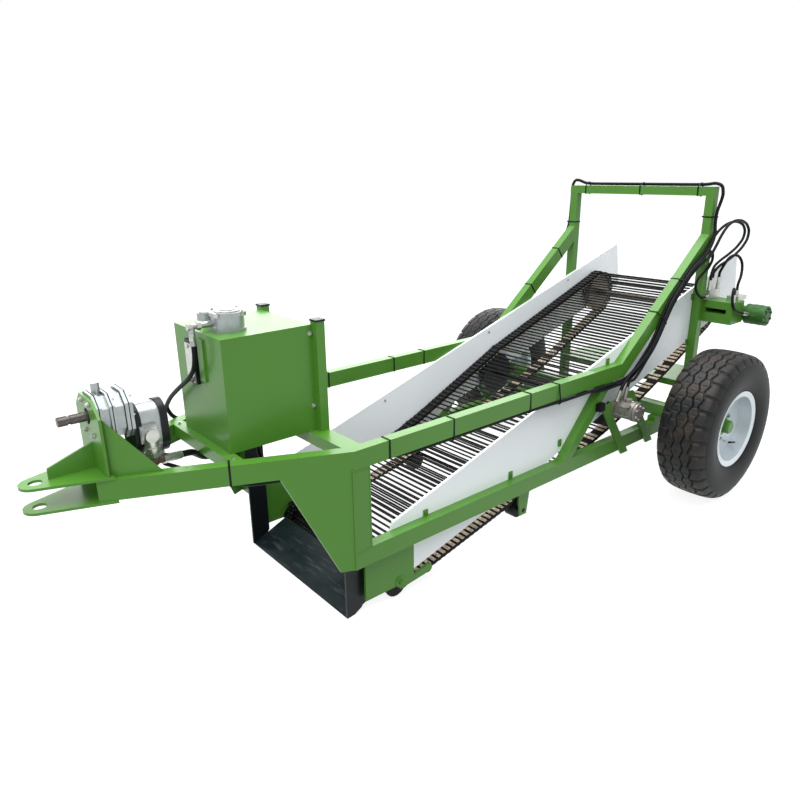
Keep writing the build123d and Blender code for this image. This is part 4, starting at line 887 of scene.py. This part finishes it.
for foot in NUTS_AT:
    foot = Vector(foot)
    fittings.rod(foot, foot + UP * 14, 14, 6)
    fittings.rod(foot + UP * 18, foot + UP * 22, 12.4, 16)
fittings.rod(FILTER_PORT + REARWARD * 18, FILTER_PORT + REARWARD * 34, 17, 6)
fittings.rod(FILTER_PORT + FORWARD * 18, FILTER_PORT, 14, 6)
for x, y in steps_round(4, 1, start=0.35):
    lug = FILTER_TOP + Vector((66 * x, 66 * y, -7))
    fittings.box(lug, (22, 18, 16), u=(x, y, 0), v=(-y, x, 0))
    fittings.bolt(lug + UP * 8, UP, 6)
fittings.rod(FILTER_TOP - UP * 2, FILTER_TOP + UP * 4, 50, 40)
fittings.rod(FILTER_TOP + UP * 4, FILTER_TOP + UP * 7, 30, 32)
fittings.rod(BREATHER_TOP - UP * 2, BREATHER_TOP + UP * 4, 30, 32)
fittings.box((-42, GAUGE_FACE_Y - 2, 1109), (66, 5, 154))
for z in (1044, 1174):
    fittings.rod((-46, GAUGE_FACE_Y - 4, z), (-46, GAUGE_FACE_Y - 9, z), 8, 6)
fittings.piece("fittings", "zinc_steel", [ZINC])

# -------------------------------------------------------------- input shaft
SPLINES = 6
SPLINE_R = 17.4
ROOT_R = 14.6
NECK_R = 14.4            # the locking groove
JOURNAL_R = 21
STAGES = (               # Y, radius over the splines, radius between them
    (-3183, 15.6, 14.2),
    (-3181, SPLINE_R, ROOT_R),
    (-3151, SPLINE_R, ROOT_R),
    (-3149, NECK_R, 14.2),
    (-3142, NECK_R, 14.2),
    (-3140, SPLINE_R, ROOT_R),
    (-3104, SPLINE_R, 14.8),
    (-3098, SPLINE_R, 17.2),
    (-3089, SPLINE_R, 17.3),
    (-3088, JOURNAL_R, JOURNAL_R),
    (-3010, JOURNAL_R, JOURNAL_R),
)


def splined(y, r_top, r_root):
    """Ring of points round the shaft at y, in and out over each spline."""
    section = (          # radius, share of a spline's pitch
        (r_root, 0.04), (r_root, 0.40), (r_top, 0.46), (r_top, 0.72), (r_top, 0.98),
    )
    ring = []
    for i in range(SPLINES):
        for r, share in section:
            t = 2 * math.pi * (i + share) / SPLINES
            ring.append((r * math.cos(t), y, PTO_Z + r * math.sin(t)))
    return ring


shaft = Shape()
shaft.stack([splined(*stage) for stage in STAGES])
shaft_piece = shaft.piece("splined_shaft", "bare_steel", [SHAFT], "pto_shaft", smooth=30)
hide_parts("input_shaft")

# -------------------------------------------------------- floor and lighting
FLOOR_HALF = 40          # metres
FLOOR_DROP = 0.002       # metres under the wheels
FLOOR_GREY = (0.2, 0.21, 0.2, 1)
FLOOR_GLOW = 0.88
WHITE_GLOW = (1, 1, 1, 1)
SKY_TINT = (0.92, 0.96, 1.0, 1)
SKY_BASE = 0.50
SKY_TOP = 0.95
SKY_FAR = 0.5
SKY_FAR_POWER = 1.6
FAR_SIDE = (-0.766, 0.643, 0.0)


def seen_rays(tree):
    """1 for camera, glossy and transmission rays, which see the white background."""
    path = tree.nodes.new("ShaderNodeLightPath")
    seen = path.outputs["Is Camera Ray"]
    for ray in ("Is Glossy Ray", "Is Transmission Ray"):
        either = tree.nodes.new("ShaderNodeMath")
        either.operation = "MAXIMUM"
        tree.links.new(seen, either.inputs[0])
        tree.links.new(path.outputs[ray], either.inputs[1])
        seen = either.outputs[0]
    return seen


def white_where_seen(tree, plain, white, surface):
    """Shows the plain shader to lighting rays and the white one to the rest."""
    mix = tree.nodes.new("ShaderNodeMixShader")
    tree.links.new(seen_rays(tree), mix.inputs["Fac"])
    tree.links.new(plain, mix.inputs[1])
    tree.links.new(white, mix.inputs[2])
    tree.links.new(mix.outputs["Shader"], surface)


floor_mesh = bpy.data.meshes.new("floor")
corners = [(-1, -1), (1, -1), (1, 1), (-1, 1)]
corners = [(FLOOR_HALF * x, FLOOR_HALF * y, 0) for x, y in corners]
floor_mesh.from_pydata(corners, [], [(0, 1, 2, 3)])
floor = bpy.data.objects.new("floor", floor_mesh)
scene.collection.objects.link(floor)
floor.location.z = -FLOOR_DROP
floor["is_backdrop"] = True
floor_mat, tree, bsdf = new_material("floor")
bsdf.inputs["Base Color"].default_value = FLOOR_GREY
bsdf.inputs["Roughness"].default_value = 0.8
bsdf.inputs["Specular IOR Level"].default_value = 0.0
emit = tree.nodes.new("ShaderNodeEmission")
emit.inputs["Color"].default_value = WHITE_GLOW
emit.inputs["Strength"].default_value = FLOOR_GLOW
lit = tree.nodes.new("ShaderNodeAddShader")
tree.links.new(bsdf.outputs["BSDF"], lit.inputs[0])
tree.links.new(emit.outputs["Emission"], lit.inputs[1])
surface = tree.nodes["Material Output"].inputs["Surface"]
white_where_seen(tree, bsdf.outputs["BSDF"], lit.outputs["Shader"], surface)
floor_mesh.materials.append(floor_mat)

world = bpy.data.worlds.new("world")
scene.world = world
world.use_nodes = True
sky_tree = world.node_tree
sky_shader = sky_tree.nodes["Background"]
sky_shader.inputs["Color"].default_value = SKY_TINT
backdrop = sky_tree.nodes.new("ShaderNodeBackground")
backdrop.inputs["Color"].default_value = WHITE_GLOW
backdrop.inputs["Strength"].default_value = 1.0


def sky_math(operation, a, b):
    """Output of a sum over two sockets or numbers in the world's nodes."""
    node = sky_tree.nodes.new("ShaderNodeMath")
    node.operation = operation
    for socket, value in zip(node.inputs, (a, b)):
        if isinstance(value, float):
            socket.default_value = value
        else:
            sky_tree.links.new(value, socket)
    return node.outputs[0]


# brighter overhead and on the machine's far side
where = sky_tree.nodes.new("ShaderNodeTexCoord").outputs["Generated"]
toward = sky_tree.nodes.new("ShaderNodeVectorMath")
toward.operation = "DOT_PRODUCT"
toward.inputs[1].default_value = FAR_SIDE
sky_tree.links.new(where, toward.inputs[0])
split = sky_tree.nodes.new("ShaderNodeSeparateXYZ")
sky_tree.links.new(where, split.inputs[0])
far = sky_math("MAXIMUM", toward.outputs["Value"], 0.0)
far = sky_math("MULTIPLY", sky_math("POWER", far, SKY_FAR_POWER), SKY_FAR)
overhead = sky_math("MAXIMUM", split.outputs["Z"], 0.0)
overhead = sky_math("MULTIPLY", overhead, SKY_TOP)
glow = sky_math("ADD", sky_math("ADD", far, overhead), SKY_BASE)
sky_tree.links.new(glow, sky_shader.inputs["Strength"])
surface = sky_tree.nodes["World Output"].inputs["Surface"]
sky = sky_shader.outputs["Background"]
white_where_seen(sky_tree, sky, backdrop.outputs["Background"], surface)


def area_lamp(name, loc, target, size, power):
    """Elliptical lamp at loc, facing target, in metres and watts."""
    data = bpy.data.lights.new(name, "AREA")
    data.shape = "ELLIPSE"
    data.size, data.size_y = size
    data.energy = power
    lamp = bpy.data.objects.new(name, data)
    lamp.location = loc
    way = Vector(target) - Vector(loc)
    lamp.rotation_euler = way.to_track_quat("-Z", "Y").to_euler()
    scene.collection.objects.link(lamp)


area_lamp("key", (2.5, -4.5, 6.0), (0, 0, 0.6), (4.0, 4.0), 200)
area_lamp("far", (-8.2, 4.6, 3.3), (0, -0.4, 0.8), (15.0, 5.0), 570)
area_lamp("top", (-0.8, 0.5, 7.0), (0, 0, 0.6), (7.0, 6.0), 480)

low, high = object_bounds()
